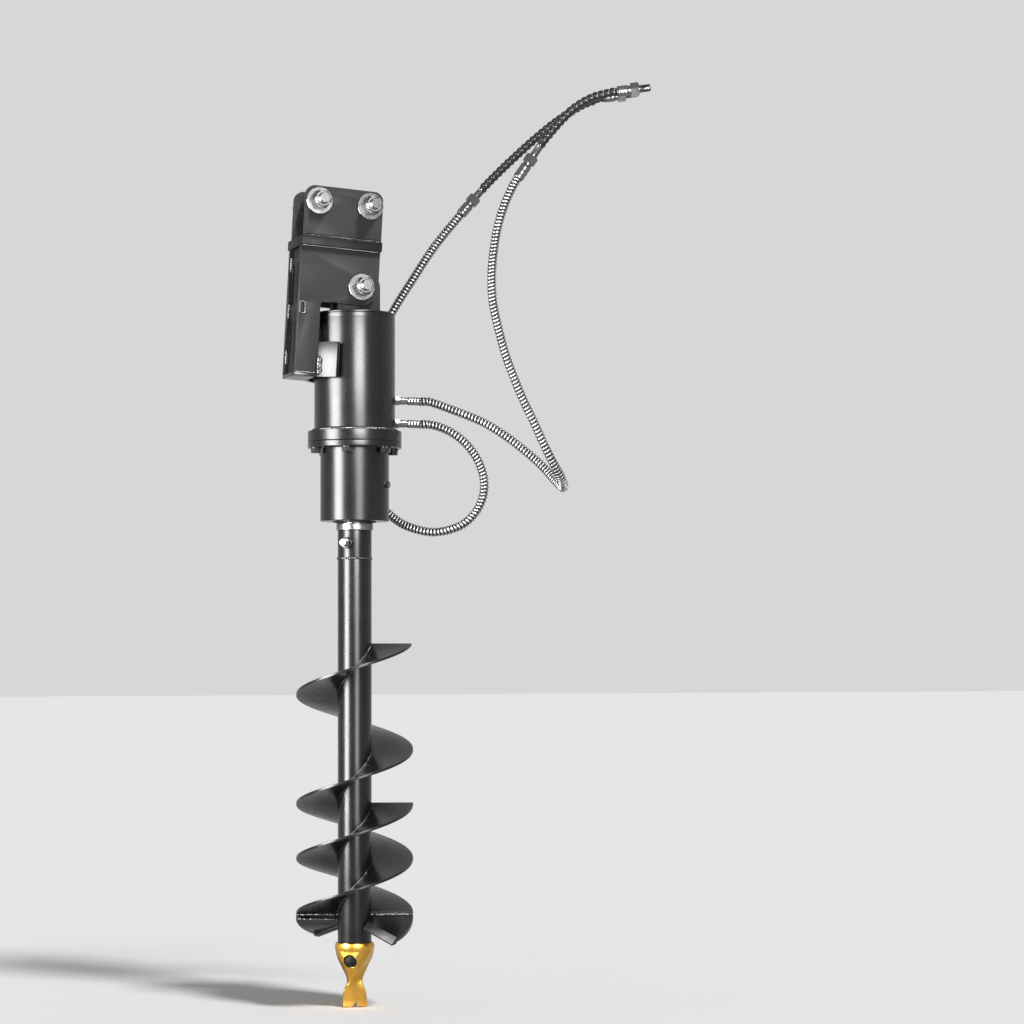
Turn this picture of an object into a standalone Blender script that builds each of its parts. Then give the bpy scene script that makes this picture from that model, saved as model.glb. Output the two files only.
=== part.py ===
"""Earth auger drive: a hydraulic motor and planetary gearbox that swing in a
leaning hitch frame and turn a double-flighted auger.

Metres, +Z up, +X to the right along the front of the frame, +Y away from its front.
The origin lies midway between the two hitch pins, on the middle plane of the frame.
"""

import math

import bmesh
import bpy
from mathutils import Matrix, Vector

# Clearances and fineness
SEAT_GAP = 0.0003
MERGE = 0.00001
SCREW_MERGE = 0.0001
ROUND_STEPS = 36
AUGER_STEPS = 30
SHAFT_STEPS = 18
SMALL_STEPS = 12

# Hitch: the frame leans against the drive, which hangs plumb from the pivot
HITCH_LEAN = math.radians(3.2)
PIN_SPACING = 0.113
PIN_RISE = 0.174
PIN_SETBACK = 0.0475
PIN_RADIUS = 0.015
PIN_THREAD_RADIUS = 0.012
PIN_TAIL = 0.015
PIN_HEAD_FLATS = 0.046
PIN_HEAD_HEIGHT = 0.018
PIN_CHAMFER = 0.0015
WASHER_RADIUS = 0.0285
WASHER_THICKNESS = 0.005
NUT_FLATS = 0.036
NUT_HEIGHT = 0.022
NUT_COLLAR_HEIGHT = 0.007
NUT_COLLAR_RADIUS = 0.0165

# Hitch frame plates, upright sizes taken from the pivot
PLATE = 0.010
PLATE_CHAMFER = 0.0012
FRAME_HALF_WIDTH = 0.050
FRAME_TOP = 0.078
FRAME_NOSE = 0.038
LEG_CLEARANCE = 0.001
LEG_DEPTH = 0.049
LEG_DROP = 0.200
NOTCH_FILLET = 0.009
WEB_INSET = 0.005
WEB_SLOT_WIDTH = 0.016
WEB_SLOT_MARGIN = 0.008
UPPER_SLOT_TOP = 0.047
UPPER_SLOT_DROP = 0.043
LOWER_SLOT_TOP = 0.081
LOWER_SLOT_DROP = 0.171
TAB_HEIGHT = 0.025
TAB_DROP = 0.0545
TAB_CLEARANCE = 0.0007
FOOT_THICKNESS = 0.008
CRADLE_ANGLE = math.radians(43)
CRADLE_HEIGHT = 0.075
CRADLE_INNER_REACH = 0.024
CRADLE_CLEARANCE = 0.0008
CROSS_THICKNESS = 0.020
CROSS_SIDE_LIP = 0.010
CROSS_END_LIP = 0.001
EAR_THICKNESS = 0.012
EAR_HALF_WIDTH = 0.053
EAR_INSET = 0.004
EAR_HEIGHT = 0.108
EAR_CORNER = 0.020

# Drive head casing, down the plumb axis from the pivot
CAP_DROP = 0.052
CAP_THICKNESS = 0.014
CAP_CHAMFER = 0.004
LUG_THICKNESS = 0.015
LUG_RADIUS = 0.046
LUG_SIDE_CLEARANCE = 0.003
BUSH_WALL = 0.006
BUSH_END_CLEARANCE = 0.001
HOUSING_RADIUS = 0.087
HOUSING_WALL = 0.008
HOUSING_LENGTH = 0.239
FLANGE_RIM = 0.013
FLANGE_CHAMFER = 0.0015
UPPER_FLANGE_THICKNESS = 0.024
UPPER_FLANGE_BORE = 0.045
LOWER_FLANGE_THICKNESS = 0.013
GEARBOX_WALL = 0.009
GEARBOX_LENGTH = 0.157
GEARBOX_FLOOR = 0.014
GEARBOX_ROUND = 0.003
FLANGE_BOLT_COUNT = 6
FLANGE_BOLT_INSET = 0.014
FLANGE_BOLT_FIRST = math.radians(242.5)
FLANGE_BOLT_RADIUS = 0.006
FLANGE_BOLT_FLATS = 0.019
FLANGE_BOLT_HEAD = 0.012
FLANGE_BOLT_GRIP = 0.018
OIL_PLUG_BELOW_FLANGE = 0.079
OIL_PLUG_BEARING = math.radians(322)
OIL_PLUG_FLATS = 0.014
OIL_PLUG_HEIGHT = 0.006
OIL_PLUG_THREAD = 0.0045

# Hydraulic motor and its two ports on the +X side
MOTOR_RADIUS = 0.060
MOTOR_LENGTH = 0.150
MOTOR_BAND_COUNT = 3
MOTOR_GROOVE = 0.002
MOTOR_SPIGOT_LENGTH = 0.008
MOTOR_BORE = 0.0165
PORT_RISES = (0.069, 0.0195)
ADAPTER_FLATS = 0.019
ADAPTER_STEM_RADIUS = 0.0075
ADAPTER_HEX_REACH = 0.016
ADAPTER_COLLAR = 0.004
FERRULE_LENGTH = 0.043
FERRULE_RADIUS = 0.008
FERRULE_GROOVE = 0.001
FERRULE_NECK_SHARE = 0.35

# Planetary set: fixed ring, driven sun, planets that carry the output round
GEAR_MODULE = 0.003
SUN_TEETH = 12
PLANET_TEETH = 12
RING_TEETH = SUN_TEETH + 2 * PLANET_TEETH
PLANET_COUNT = 3
PRESSURE_ANGLE = math.radians(20)
STUB_SHARE = 0.8
RING_STUB_SHARE = 0.55
ROOT_SHARE = 1.05
BACKLASH = 0.0003
GEAR_WIDTH = 0.040
GEAR_BELOW_FLANGE = 0.010
RING_RIM = 0.00755
SUN_BORE = 0.0075
PLANET_PIN_RADIUS = 0.007
SPINDLE_RADIUS = 0.016
SPINDLE_NOSE_RADIUS = 0.0072
CARRIER_RIM = 0.001
CARRIER_THICKNESS = 0.012
CARRIER_GAP = 0.002

# Output shaft, its bearings and the seal
OUTPUT_RADIUS = 0.025
INNER_RACE_WALL = 0.008
OUTER_RACE_WALL = 0.007
ROLLER_RADIUS = 0.0034
ROLLER_COUNT = 10
RACE_GAP = 0.0004
BEARING_WIDTH = 0.034
CAGE_RAIL = 0.004
SEAL_WIDTH = 0.021
SEAL_LIP = 0.0025
COLLAR_WALL = 0.0145
COLLAR_THICKNESS = 0.0155
COLLAR_DROP = 0.0015
COLLAR_CHAMFER = 0.001

# Auger
AUGER_PHASE = math.radians(343.4)
TUBE_RADIUS = 0.0365
TUBE_WALL = 0.0065
HUB_LENGTH = 0.0605
HUB_FIT = 0.0005
SHAFT_TAIL_GAP = 0.006
HUB_BOLT_BEARING = math.radians(232)
HUB_BOLT_DROP = 0.028
HUB_BOLT_RADIUS = 0.008
HUB_BOLT_FLATS = 0.024
HUB_BOLT_HEAD = 0.010
HUB_NUT_HEIGHT = 0.015
HUB_BOLT_TAIL = 0.018
TUBE_LENGTH = 0.827
FLIGHT_RADIUS = 0.126
FLIGHT_THICKNESS = 0.006
FLIGHT_PITCH = 0.235
FLIGHT_FOOT = 0.060
MAIN_TURNS = 2.5
SECOND_TURNS = 1.0
BLADE_THICKNESS = 0.010
BLADE_SWEEP = math.radians(45)
BLADE_SLOPE = math.radians(25)
BLADE_ARC_STEPS = 8
TOOTH_DEPTH = 0.014
TOOTH_THICKNESS = 0.016
TOOTH_INNER = 0.040
TOOTH_OUTER = 0.127
TOOTH_EDGE = 0.004

# Pilot bit: a round rim that is flattened, twisted and forked
PILOT_RADIUS = 0.043
PILOT_LENGTH = 0.138
PILOT_SIDES = 24
PILOT_DROP_SHARES = (0.0, 0.07, 0.23, 0.36, 0.51, 0.62, 0.70, 0.80, 0.90, 1.0)
PILOT_WIDTH_SHARES = (0.96, 1.0, 0.885, 0.70, 0.46, 0.39, 0.50, 0.58, 0.61, 0.62)
PILOT_FLAT_SHARES = (0.95, 0.98, 0.80, 0.55, 0.33, 0.24, 0.20, 0.15, 0.11, 0.09)
PILOT_TWIST = (-86, -102, -113, -118, -138, -168, -174, -173, -172, -170)
FORK_WIDTH = 0.010
FORK_DEPTH = 0.020
PILOT_BOLT_BEARING = math.radians(236)
PILOT_BOLT_DROP = 0.038
PILOT_BOLT_RADIUS = 0.008
PILOT_BOLT_FLATS = 0.024
PILOT_BOLT_HEAD = 0.010
PILOT_BOLT_SEAT = 0.021
PILOT_BOLT_DEPTH = 0.014
PILOT_RECESS_SHARE = 0.62

# Hoses: routes chosen by hand through the places where the hoses lie
HOSE_RADIUS = 0.010
HOSE_SPACING = 0.046
HOSE_BEVEL_RESOLUTION = 2
ROUTE_STEPS = 16
HOSE_STRAIGHT = 0.012
HOSE_A_ROUTE = (
    (0.205, 0.000, -0.412), (0.233, -0.006, -0.421), (0.271, -0.020, -0.436),
    (0.318, -0.034, -0.456), (0.359, -0.049, -0.482), (0.399, -0.064, -0.514),
    (0.434, -0.087, -0.550), (0.455, -0.124, -0.588), (0.453, -0.174, -0.604),
    (0.430, -0.222, -0.586), (0.400, -0.245, -0.552), (0.378, -0.250, -0.514),
    (0.359, -0.247, -0.472), (0.341, -0.239, -0.431), (0.324, -0.230, -0.386),
    (0.305, -0.221, -0.330), (0.290, -0.212, -0.266), (0.281, -0.206, -0.213),
    (0.280, -0.202, -0.161), (0.285, -0.200, -0.110), (0.294, -0.200, -0.057),
    (0.309, -0.203, -0.007), (0.322, -0.206, 0.023),
)
UNION_A_SPAN = ((0.336, -0.209, 0.048), (0.383, -0.222, 0.119))
LEAD_A_ROUTE = (
    (0.394, -0.225, 0.134), (0.409, -0.229, 0.153), (0.429, -0.234, 0.176),
    (0.454, -0.241, 0.200), (0.488, -0.251, 0.221), (0.520, -0.260, 0.231),
)
END_A_SPAN = ((0.540, -0.266, 0.235), (0.608, -0.289, 0.244))
HOSE_B_ROUTE = (
    (0.205, 0.000, -0.4615), (0.230, -0.009, -0.468), (0.258, -0.020, -0.483),
    (0.284, -0.028, -0.506), (0.304, -0.035, -0.535), (0.316, -0.040, -0.568),
    (0.319, -0.042, -0.598), (0.313, -0.041, -0.628), (0.298, -0.037, -0.656),
    (0.274, -0.030, -0.679), (0.243, -0.018, -0.692), (0.211, -0.004, -0.696),
    (0.180, 0.015, -0.689), (0.154, 0.040, -0.675), (0.131, 0.066, -0.651),
    (0.108, 0.092, -0.615), (0.091, 0.110, -0.565), (0.082, 0.116, -0.491),
    (0.086, 0.114, -0.403), (0.104, 0.104, -0.309), (0.126, 0.093, -0.254),
    (0.150, 0.081, -0.206), (0.190, 0.068, -0.139), (0.230, 0.057, -0.075),
    (0.267, 0.049, -0.026), (0.283, 0.046, -0.007),
)
UNION_B_SPAN = ((0.294, 0.044, 0.007), (0.340, 0.036, 0.062))
LEAD_B_ROUTE = (
    (0.352, 0.033, 0.076), (0.376, 0.027, 0.101), (0.406, 0.019, 0.131),
    (0.453, 0.004, 0.176), (0.501, -0.013, 0.217), (0.548, -0.030, 0.249),
    (0.578, -0.040, 0.262),
)
END_B_SPAN = ((0.596, -0.047, 0.268), (0.667, -0.072, 0.277))
UNION_NUT_FLATS = 0.027
UNION_NUT_LENGTH = 0.018
UNION_NUT_SHARE = 0.45
END_NUT_SHARE = 0.40
UNION_STEM_RADIUS = 0.0085
UNION_SHELL_RADIUS = 0.012

# Places that follow from the sizes above
LEG_FRONT = HOUSING_RADIUS + LEG_CLEARANCE
FRAME_BACK = LEG_FRONT + LEG_DEPTH
EAR_BACK = FRAME_BACK - EAR_INSET
HOUSING_TOP = CAP_DROP + CAP_THICKNESS
HOUSING_BOTTOM = HOUSING_TOP + HOUSING_LENGTH
LOWER_FLANGE_TOP = HOUSING_BOTTOM + UPPER_FLANGE_THICKNESS
GEARBOX_TOP = LOWER_FLANGE_TOP + LOWER_FLANGE_THICKNESS
GEARBOX_BOTTOM = GEARBOX_TOP + GEARBOX_LENGTH
PORT_DROPS = [HOUSING_BOTTOM - rise for rise in PORT_RISES]
OIL_PLUG_DROP = GEARBOX_TOP + OIL_PLUG_BELOW_FLANGE
SEAL_BOTTOM = GEARBOX_BOTTOM + SEAL_LIP
COLLAR_TOP = SEAL_BOTTOM + COLLAR_DROP
HUB_TOP = COLLAR_TOP + COLLAR_THICKNESS
TUBE_TOP = HUB_TOP + HUB_LENGTH
TUBE_BOTTOM = TUBE_TOP + TUBE_LENGTH
FLIGHT_BOTTOM = TUBE_BOTTOM - FLIGHT_FOOT
GEAR_TOP_DROP = GEARBOX_TOP + GEAR_BELOW_FLANGE
GEAR_BOTTOM_DROP = GEAR_TOP_DROP + GEAR_WIDTH
CARRIER_TOP = GEAR_BOTTOM_DROP + CARRIER_GAP
BEARING_TOP = CARRIER_TOP + CARRIER_THICKNESS + CARRIER_GAP
PLANET_ORBIT = GEAR_MODULE * (SUN_TEETH + PLANET_TEETH) / 2
INNER_RACE_RADIUS = OUTPUT_RADIUS + SEAT_GAP + INNER_RACE_WALL
OUTER_RACE_BORE = INNER_RACE_RADIUS + 2 * ROLLER_RADIUS + 2 * RACE_GAP
OUTER_RACE_RADIUS = OUTER_RACE_BORE + OUTER_RACE_WALL
SEAL_RADIUS = OUTPUT_RADIUS + SEAL_WIDTH
COLLAR_RADIUS = OUTPUT_RADIUS + COLLAR_WALL
CARRIER_RADIUS = PLANET_ORBIT + PLANET_PIN_RADIUS + CARRIER_RIM
RING_ROOT_RADIUS = GEAR_MODULE * (RING_TEETH / 2 + ROOT_SHARE)
GEARBOX_RADIUS = RING_ROOT_RADIUS + RING_RIM + SEAT_GAP + GEARBOX_WALL
FLANGE_BOLT_CIRCLE = GEARBOX_RADIUS + FLANGE_BOLT_INSET
FLANGE_RADIUS = FLANGE_BOLT_CIRCLE + FLANGE_RIM

# Where the pivot lies, seen from the origin between the hitch pins
PIVOT = Matrix.Rotation(HITCH_LEAN, 3, "Y") @ Vector((PIN_SETBACK, 0, -PIN_RISE))

for old in list(bpy.data.objects):
    bpy.data.objects.remove(old)

PARTS = bpy.data.collections.new("earth_auger_drive")
CUTTERS = bpy.data.collections.new("cutters")
for group in (PARTS, CUTTERS):
    bpy.context.scene.collection.children.link(group)


def finish(name, colour, roughness, metallic):
    """One Principled material for each kind of surface."""
    made = bpy.data.materials.new(name)
    made.use_nodes = True
    shader = made.node_tree.nodes["Principled BSDF"]
    shader.inputs["Base Color"].default_value = (*colour, 1)
    shader.inputs["Roughness"].default_value = roughness
    shader.inputs["Metallic"].default_value = metallic
    return made


BLACK_PAINT = finish("black_paint", (0.012, 0.012, 0.013), 0.22, 0.0)
ZINC = finish("zinc_plate", (0.78, 0.78, 0.76), 0.28, 1.0)
GEAR_STEEL = finish("gear_steel", (0.45, 0.45, 0.47), 0.35, 1.0)
BRIGHT_STEEL = finish("bright_steel", (0.70, 0.70, 0.71), 0.22, 1.0)
RUBBER = finish("black_rubber", (0.02, 0.02, 0.02), 0.60, 0.0)
BRONZE = finish("bronze", (0.55, 0.36, 0.16), 0.40, 1.0)
WEAR_STEEL = finish("wear_steel", (0.10, 0.10, 0.10), 0.45, 0.6)
GOLD = finish("gold_coat", (0.85, 0.55, 0.12), 0.35, 1.0)
CAST_GREY = finish("cast_grey", (0.16, 0.16, 0.17), 0.50, 0.3)


def empty(name, place, turn=(0, 0, 0)):
    """An axis or reference point that carries pieces."""
    made = bpy.data.objects.new(name, None)
    made.location = place
    made.rotation_euler = turn
    PARTS.objects.link(made)
    return made


def piece(name, mesh, material, carrier, group=PARTS):
    """Put a mesh in the model as one named piece on its carrier."""
    made = bpy.data.objects.new(name, mesh)
    if material:
        mesh.materials.append(material)
    made.parent = carrier
    group.objects.link(made)
    return made


def from_form(name, form, material, carrier, group=PARTS):
    """Turn a bmesh into a piece, smooth where its faces meet gently."""
    mesh = bpy.data.meshes.new(name)
    form.to_mesh(mesh)
    form.free()
    mesh.shade_smooth()
    mesh.set_sharp_from_angle(angle=math.radians(35))
    return piece(name, mesh, material, carrier, group)


def box(name, size, centre, material, carrier, group=PARTS):
    """A plain block."""
    form = bmesh.new()
    bmesh.ops.create_cube(form, size=1)
    bmesh.ops.scale(form, vec=size, verts=form.verts)
    made = from_form(name, form, material, carrier, group)
    made.location = centre
    return made


def aim(made, place, direction):
    """Stand a piece made along +Z at a place, pointing in a direction."""
    turn = Vector(direction).to_track_quat("Z", "Y")
    made.rotation_euler = turn.to_euler()
    made.location = place
    return made


def rod(name, radius, length, carrier, steps=SMALL_STEPS):
    """A plain cylinder about its own middle, used as a cutter."""
    form = bmesh.new()
    bmesh.ops.create_cone(
        form, cap_ends=True, segments=steps, radius1=radius, radius2=radius, depth=length
    )
    return from_form(name, form, None, carrier, CUTTERS)


def combine(made, other, operation):
    """Join a guide shape to a piece, or cut it out."""
    other.hide_render = True
    other.display_type = "WIRE"
    step = made.modifiers.new(operation.lower(), "BOOLEAN")
    step.operation = operation
    step.solver = "EXACT"
    step.object = other
    return made


def cut(made, cutter):
    """Take a cutter's shape out of a piece."""
    return combine(made, cutter, "DIFFERENCE")


def chamfer(made, width, segments=1):
    """Break the sharp edges of a piece."""
    step = made.modifiers.new("chamfer", "BEVEL")
    step.width = width
    step.segments = segments
    step.limit_method = "ANGLE"
    step.angle_limit = math.radians(40)
    step.use_clamp_overlap = True
    return made


def turned(name, profile, material, carrier, steps=ROUND_STEPS, shut=False, group=PARTS):
    """A turned piece: (radius, height) points run down its outer side."""
    mesh = bpy.data.meshes.new(name)
    links = [(i, i + 1) for i in range(len(profile) - 1)]
    if shut:
        links.append((len(profile) - 1, 0))
    mesh.from_pydata([(radius, 0, height) for radius, height in profile], links, [])
    made = piece(name, mesh, material, carrier, group)
    step = made.modifiers.new("turn", "SCREW")
    step.axis = "Z"
    step.angle = math.tau
    step.steps = steps
    step.render_steps = steps
    step.use_merge_vertices = True
    step.merge_threshold = SCREW_MERGE
    step.use_smooth_shade = True
    return made


def ring(name, outer, bore, top, bottom, material, carrier, steps=ROUND_STEPS):
    """A plain turned ring between two heights."""
    profile = ((bore, top), (outer, top), (outer, bottom), (bore, bottom))
    return turned(name, profile, material, carrier, steps, shut=True)


def arc(centre, radius, start, end, steps):
    """Points on an arc, with the angles in degrees."""
    points = []
    for i in range(steps + 1):
        angle = math.radians(start + (end - start) * i / steps)
        across = centre[0] + radius * math.cos(angle)
        points.append((across, centre[1] + radius * math.sin(angle)))
    return points


def circle(centre, radius, steps=SHAFT_STEPS):
    """A round hole in a plate's outline."""
    return arc(centre, radius, 0, 360 - 360 / steps, steps - 1)


def oblong(centre_across, low, high, width, steps=4):
    """An upright slot with round ends."""
    radius = width / 2
    top = arc((centre_across, high - radius), radius, 0, 180, steps)
    return top + arc((centre_across, low + radius), radius, 180, 360, steps)


def plate_mesh(name, outline, thickness, holes=()):
    """A flat outline with its holes, given a thickness about its plane."""
    curve = bpy.data.curves.new(name, "CURVE")
    curve.dimensions = "2D"
    curve.fill_mode = "BOTH"
    curve.extrude = thickness / 2
    for loop in (outline, *holes):
        spline = curve.splines.new("POLY")
        spline.points.add(len(loop) - 1)
        for point, (across, up) in zip(spline.points, loop):
            point.co = (across, up, 0, 1)
        spline.use_cyclic_u = True
    return welded_mesh(name, curve)


def welded_mesh(name, curve):
    """The mesh of a curve, with its loose caps joined to its sides."""
    holder = bpy.data.objects.new(name, curve)
    bpy.context.scene.collection.objects.link(holder)
    view = bpy.context.evaluated_depsgraph_get()
    mesh = bpy.data.meshes.new_from_object(holder.evaluated_get(view))
    bpy.data.objects.remove(holder)
    form = bmesh.new()
    form.from_mesh(mesh)
    bmesh.ops.remove_doubles(form, verts=form.verts, dist=MERGE)
    flat = math.radians(1)
    bmesh.ops.dissolve_limit(form, angle_limit=flat, verts=form.verts, edges=form.edges)
    bmesh.ops.recalc_face_normals(form, faces=form.faces)
    form.to_mesh(mesh)
    form.free()
    return mesh


def plate(name, outline, thickness, material, carrier, holes=()):
    """A flat plate as a piece, lying in its carrier's XY plane."""
    return piece(name, plate_mesh(name, outline, thickness, holes), material, carrier)


FACING_FRONT = (math.pi / 2, 0, 0)
FACING_RIGHT = (math.pi / 2, 0, math.pi / 2)


def hex_reach(flats, angle):
    """Distance from the middle of a hexagon to its side at an angle."""
    return flats / 2 / math.cos(angle % (math.pi / 3) - math.pi / 6)


def section(shape, size, height, points=SHAFT_STEPS):
    """One ring of a stepped piece: round by radius or hexagonal by its flats."""
    made = []
    for i in range(points):
        angle = math.tau * i / points
        reach = hex_reach(size, angle) if shape == "hex" else size
        made.append(Vector((reach * math.cos(angle), reach * math.sin(angle), height)))
    return made


def skin(form, sections, hollow=False):
    """Loft through rings of equal points, capped or closed on itself."""
    rings = [[form.verts.new(point) for point in ring_points] for ring_points in sections]
    count = len(rings[0])
    pairs = list(zip(rings, rings[1:]))
    if hollow:
        pairs.append((rings[-1], rings[0]))
    for lower, upper in pairs:
        for i in range(count):
            j = (i + 1) % count
            form.faces.new((lower[i], lower[j], upper[j], upper[i]))
    if not hollow:
        form.faces.new(list(reversed(rings[0])))
        form.faces.new(rings[-1])
    bmesh.ops.recalc_face_normals(form, faces=form.faces)
    return form


def stepped(name, rings, material, carrier, hollow=False, points=SHAFT_STEPS):
    """A bolt, nut or fitting from (shape, size, height) steps up its axis."""
    sections = [section(shape, size, height, points) for shape, size, height in rings]
    return from_form(name, skin(bmesh.new(), sections, hollow), material, carrier)


def joined_copies(made, name, source, placements, carrier):
    """Repeat a small shape and make all the copies one with the piece that holds them."""
    form = bmesh.new()
    for placement in placements:
        start = len(form.verts)
        form.from_mesh(source)
        form.verts.ensure_lookup_table()
        fresh = form.verts[start:]
        bmesh.ops.transform(form, matrix=placement, verts=fresh)
    return combine(made, from_form(name, form, None, carrier, CUTTERS), "UNION")


def stepped_mesh(name, rings, hollow=False, points=SHAFT_STEPS):
    """The mesh of a stepped piece, for a group of copies."""
    sections = [section(shape, size, height, points) for shape, size, height in rings]
    form = skin(bmesh.new(), sections, hollow)
    mesh = bpy.data.meshes.new(name)
    form.to_mesh(mesh)
    form.free()
    return mesh


FRAME = empty("hitch_lean", PIVOT, (0, HITCH_LEAN, 0))
HEAD = empty("drive_axis", PIVOT)
AUGER = empty("auger_axis", PIVOT, (0, 0, AUGER_PHASE))
TO_FRONT = (0, -1, 0)


def side_plates():
    """Two notched side plates: a deep leg behind, a rounded nose at the pivot."""
    foot = -LEG_DROP + FOOT_THICKNESS + SEAT_GAP
    outline = [(-FRAME_BACK, FRAME_TOP), (-FRAME_BACK, foot), (-LEG_FRONT, foot)]
    fillet_centre = (-LEG_FRONT + NOTCH_FILLET, -FRAME_NOSE - NOTCH_FILLET)
    outline += arc(fillet_centre, NOTCH_FILLET, 180, 90, 4)
    outline += arc((0, 0), FRAME_NOSE, -90, 0, 8)
    outline += [(FRAME_NOSE, FRAME_TOP)]
    slot_half = TAB_HEIGHT / 2 + TAB_CLEARANCE
    slot_back = -FRAME_BACK + WEB_INSET - TAB_CLEARANCE
    slot_front = slot_back + PLATE + 2 * TAB_CLEARANCE
    tab = (
        (slot_back, -TAB_DROP + slot_half),
        (slot_front, -TAB_DROP + slot_half),
        (slot_front, -TAB_DROP - slot_half),
        (slot_back, -TAB_DROP - slot_half),
    )
    holes = (circle((0, 0), PIN_RADIUS + SEAT_GAP), tab)
    middle = FRAME_HALF_WIDTH - PLATE / 2
    for name, side in (("side_plate_front", -1), ("side_plate_rear", 1)):
        made = plate(name, outline, PLATE, BLACK_PAINT, FRAME, holes)
        made.rotation_euler = FACING_FRONT
        made.location.y = side * middle
        chamfer(made, PLATE_CHAMFER)


def back_web():
    """Slotted plate between the side plates, with a tab through each of them."""
    edge = FRAME_HALF_WIDTH - PLATE - SEAT_GAP
    tab = FRAME_HALF_WIDTH
    top = FRAME_TOP
    foot = -LEG_DROP + FOOT_THICKNESS + SEAT_GAP
    tab_top = -TAB_DROP + TAB_HEIGHT / 2 - SEAT_GAP
    tab_foot = -TAB_DROP - TAB_HEIGHT / 2 + SEAT_GAP
    right = [(edge, foot), (edge, tab_foot), (tab, tab_foot), (tab, tab_top)]
    right += [(edge, tab_top), (edge, top)]
    outline = right + [(-across, up) for across, up in reversed(right)]
    slot_middle = edge - WEB_SLOT_MARGIN - WEB_SLOT_WIDTH / 2
    holes = []
    for side in (-1, 1):
        across = side * slot_middle
        holes.append(oblong(across, -UPPER_SLOT_DROP, UPPER_SLOT_TOP, WEB_SLOT_WIDTH))
        holes.append(oblong(across, -LOWER_SLOT_DROP, -LOWER_SLOT_TOP, WEB_SLOT_WIDTH))
    web = PLATE - 2 * SEAT_GAP
    made = plate("back_web", outline, web, BLACK_PAINT, FRAME, holes)
    made.rotation_euler = FACING_RIGHT
    made.location.x = -FRAME_BACK + WEB_INSET + PLATE / 2


def foot_plate():
    """Plate that closes the foot of the leg."""
    size = (FRAME_BACK - LEG_FRONT, 2 * FRAME_HALF_WIDTH, FOOT_THICKNESS)
    centre = (-(FRAME_BACK + LEG_FRONT) / 2, 0, -LEG_DROP + FOOT_THICKNESS / 2)
    chamfer(box("foot_plate", size, centre, BLACK_PAINT, FRAME), PLATE_CHAMFER)


def cradle_pads():
    """Two flat bars set in a V, on which the drive head's casing comes to rest."""
    face = HOUSING_RADIUS + CRADLE_CLEARANCE
    back = (face + PLATE) * math.cos(CRADLE_ANGLE)
    reach = (LEG_FRONT - SEAT_GAP - back) / math.sin(CRADLE_ANGLE)
    width = reach + CRADLE_INNER_REACH
    offset = (reach - CRADLE_INNER_REACH) / 2
    middle = face + PLATE / 2
    height = -LEG_DROP + CRADLE_HEIGHT / 2
    for name, side in (("cradle_pad_front", -1), ("cradle_pad_rear", 1)):
        across = middle * math.cos(CRADLE_ANGLE) + offset * math.sin(CRADLE_ANGLE)
        away = middle * math.sin(CRADLE_ANGLE) - offset * math.cos(CRADLE_ANGLE)
        size = (PLATE, width, CRADLE_HEIGHT)
        made = box(name, size, (-across, side * away, height), BLACK_PAINT, FRAME)
        made.rotation_euler.z = -side * CRADLE_ANGLE


def cross_plate():
    """Thick plate on which the two ears stand."""
    length = FRAME_BACK + FRAME_NOSE + 2 * CROSS_END_LIP
    size = (length, 2 * (FRAME_HALF_WIDTH + CROSS_SIDE_LIP), CROSS_THICKNESS)
    centre = ((FRAME_NOSE - FRAME_BACK) / 2, 0, FRAME_TOP + SEAT_GAP + CROSS_THICKNESS / 2)
    chamfer(box("cross_plate", size, centre, BLACK_PAINT, FRAME), PLATE_CHAMFER)


def pin_places():
    """The two hitch pins, across the leaning frame from the pivot."""
    return [(-PIN_SETBACK + side * PIN_SPACING / 2, PIN_RISE) for side in (-1, 1)]


def ear_plates():
    """Two ears with round shoulders that take the hitch pins."""
    low = FRAME_TOP + CROSS_THICKNESS + 2 * SEAT_GAP
    high = low + EAR_HEIGHT
    outline = [(-EAR_BACK, low), (FRAME_NOSE, low)]
    outline += arc((FRAME_NOSE - EAR_CORNER, high - EAR_CORNER), EAR_CORNER, 0, 90, 5)
    outline += arc((-EAR_BACK + EAR_CORNER, high - EAR_CORNER), EAR_CORNER, 90, 180, 5)
    holes = [circle(place, PIN_RADIUS + SEAT_GAP) for place in pin_places()]
    for name, side in (("ear_plate_front", -1), ("ear_plate_rear", 1)):
        made = plate(name, outline, EAR_THICKNESS, BLACK_PAINT, FRAME, holes)
        made.rotation_euler = FACING_FRONT
        made.location.y = side * (EAR_HALF_WIDTH - EAR_THICKNESS / 2)
        chamfer(made, PLATE_CHAMFER)


def shouldered_pin(name, place, half_grip):
    """Pin with a hexagon head at the rear and a threaded end at the front."""
    head = -half_grip - SEAT_GAP
    shoulder = half_grip
    nut = WASHER_THICKNESS + NUT_HEIGHT + NUT_COLLAR_HEIGHT
    tail = half_grip + nut + PIN_TAIL
    rings = (
        ("hex", PIN_HEAD_FLATS - PIN_CHAMFER, head - PIN_HEAD_HEIGHT),
        ("hex", PIN_HEAD_FLATS, head - PIN_HEAD_HEIGHT + PIN_CHAMFER),
        ("hex", PIN_HEAD_FLATS, head),
        ("round", PIN_RADIUS, head),
        ("round", PIN_RADIUS, shoulder),
        ("round", PIN_THREAD_RADIUS, shoulder),
        ("round", PIN_THREAD_RADIUS, tail - PIN_CHAMFER),
        ("round", PIN_THREAD_RADIUS - PIN_CHAMFER, tail),
    )
    made = stepped(name, rings, ZINC, FRAME)
    aim(made, (place[0], 0, place[1]), TO_FRONT)


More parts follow.
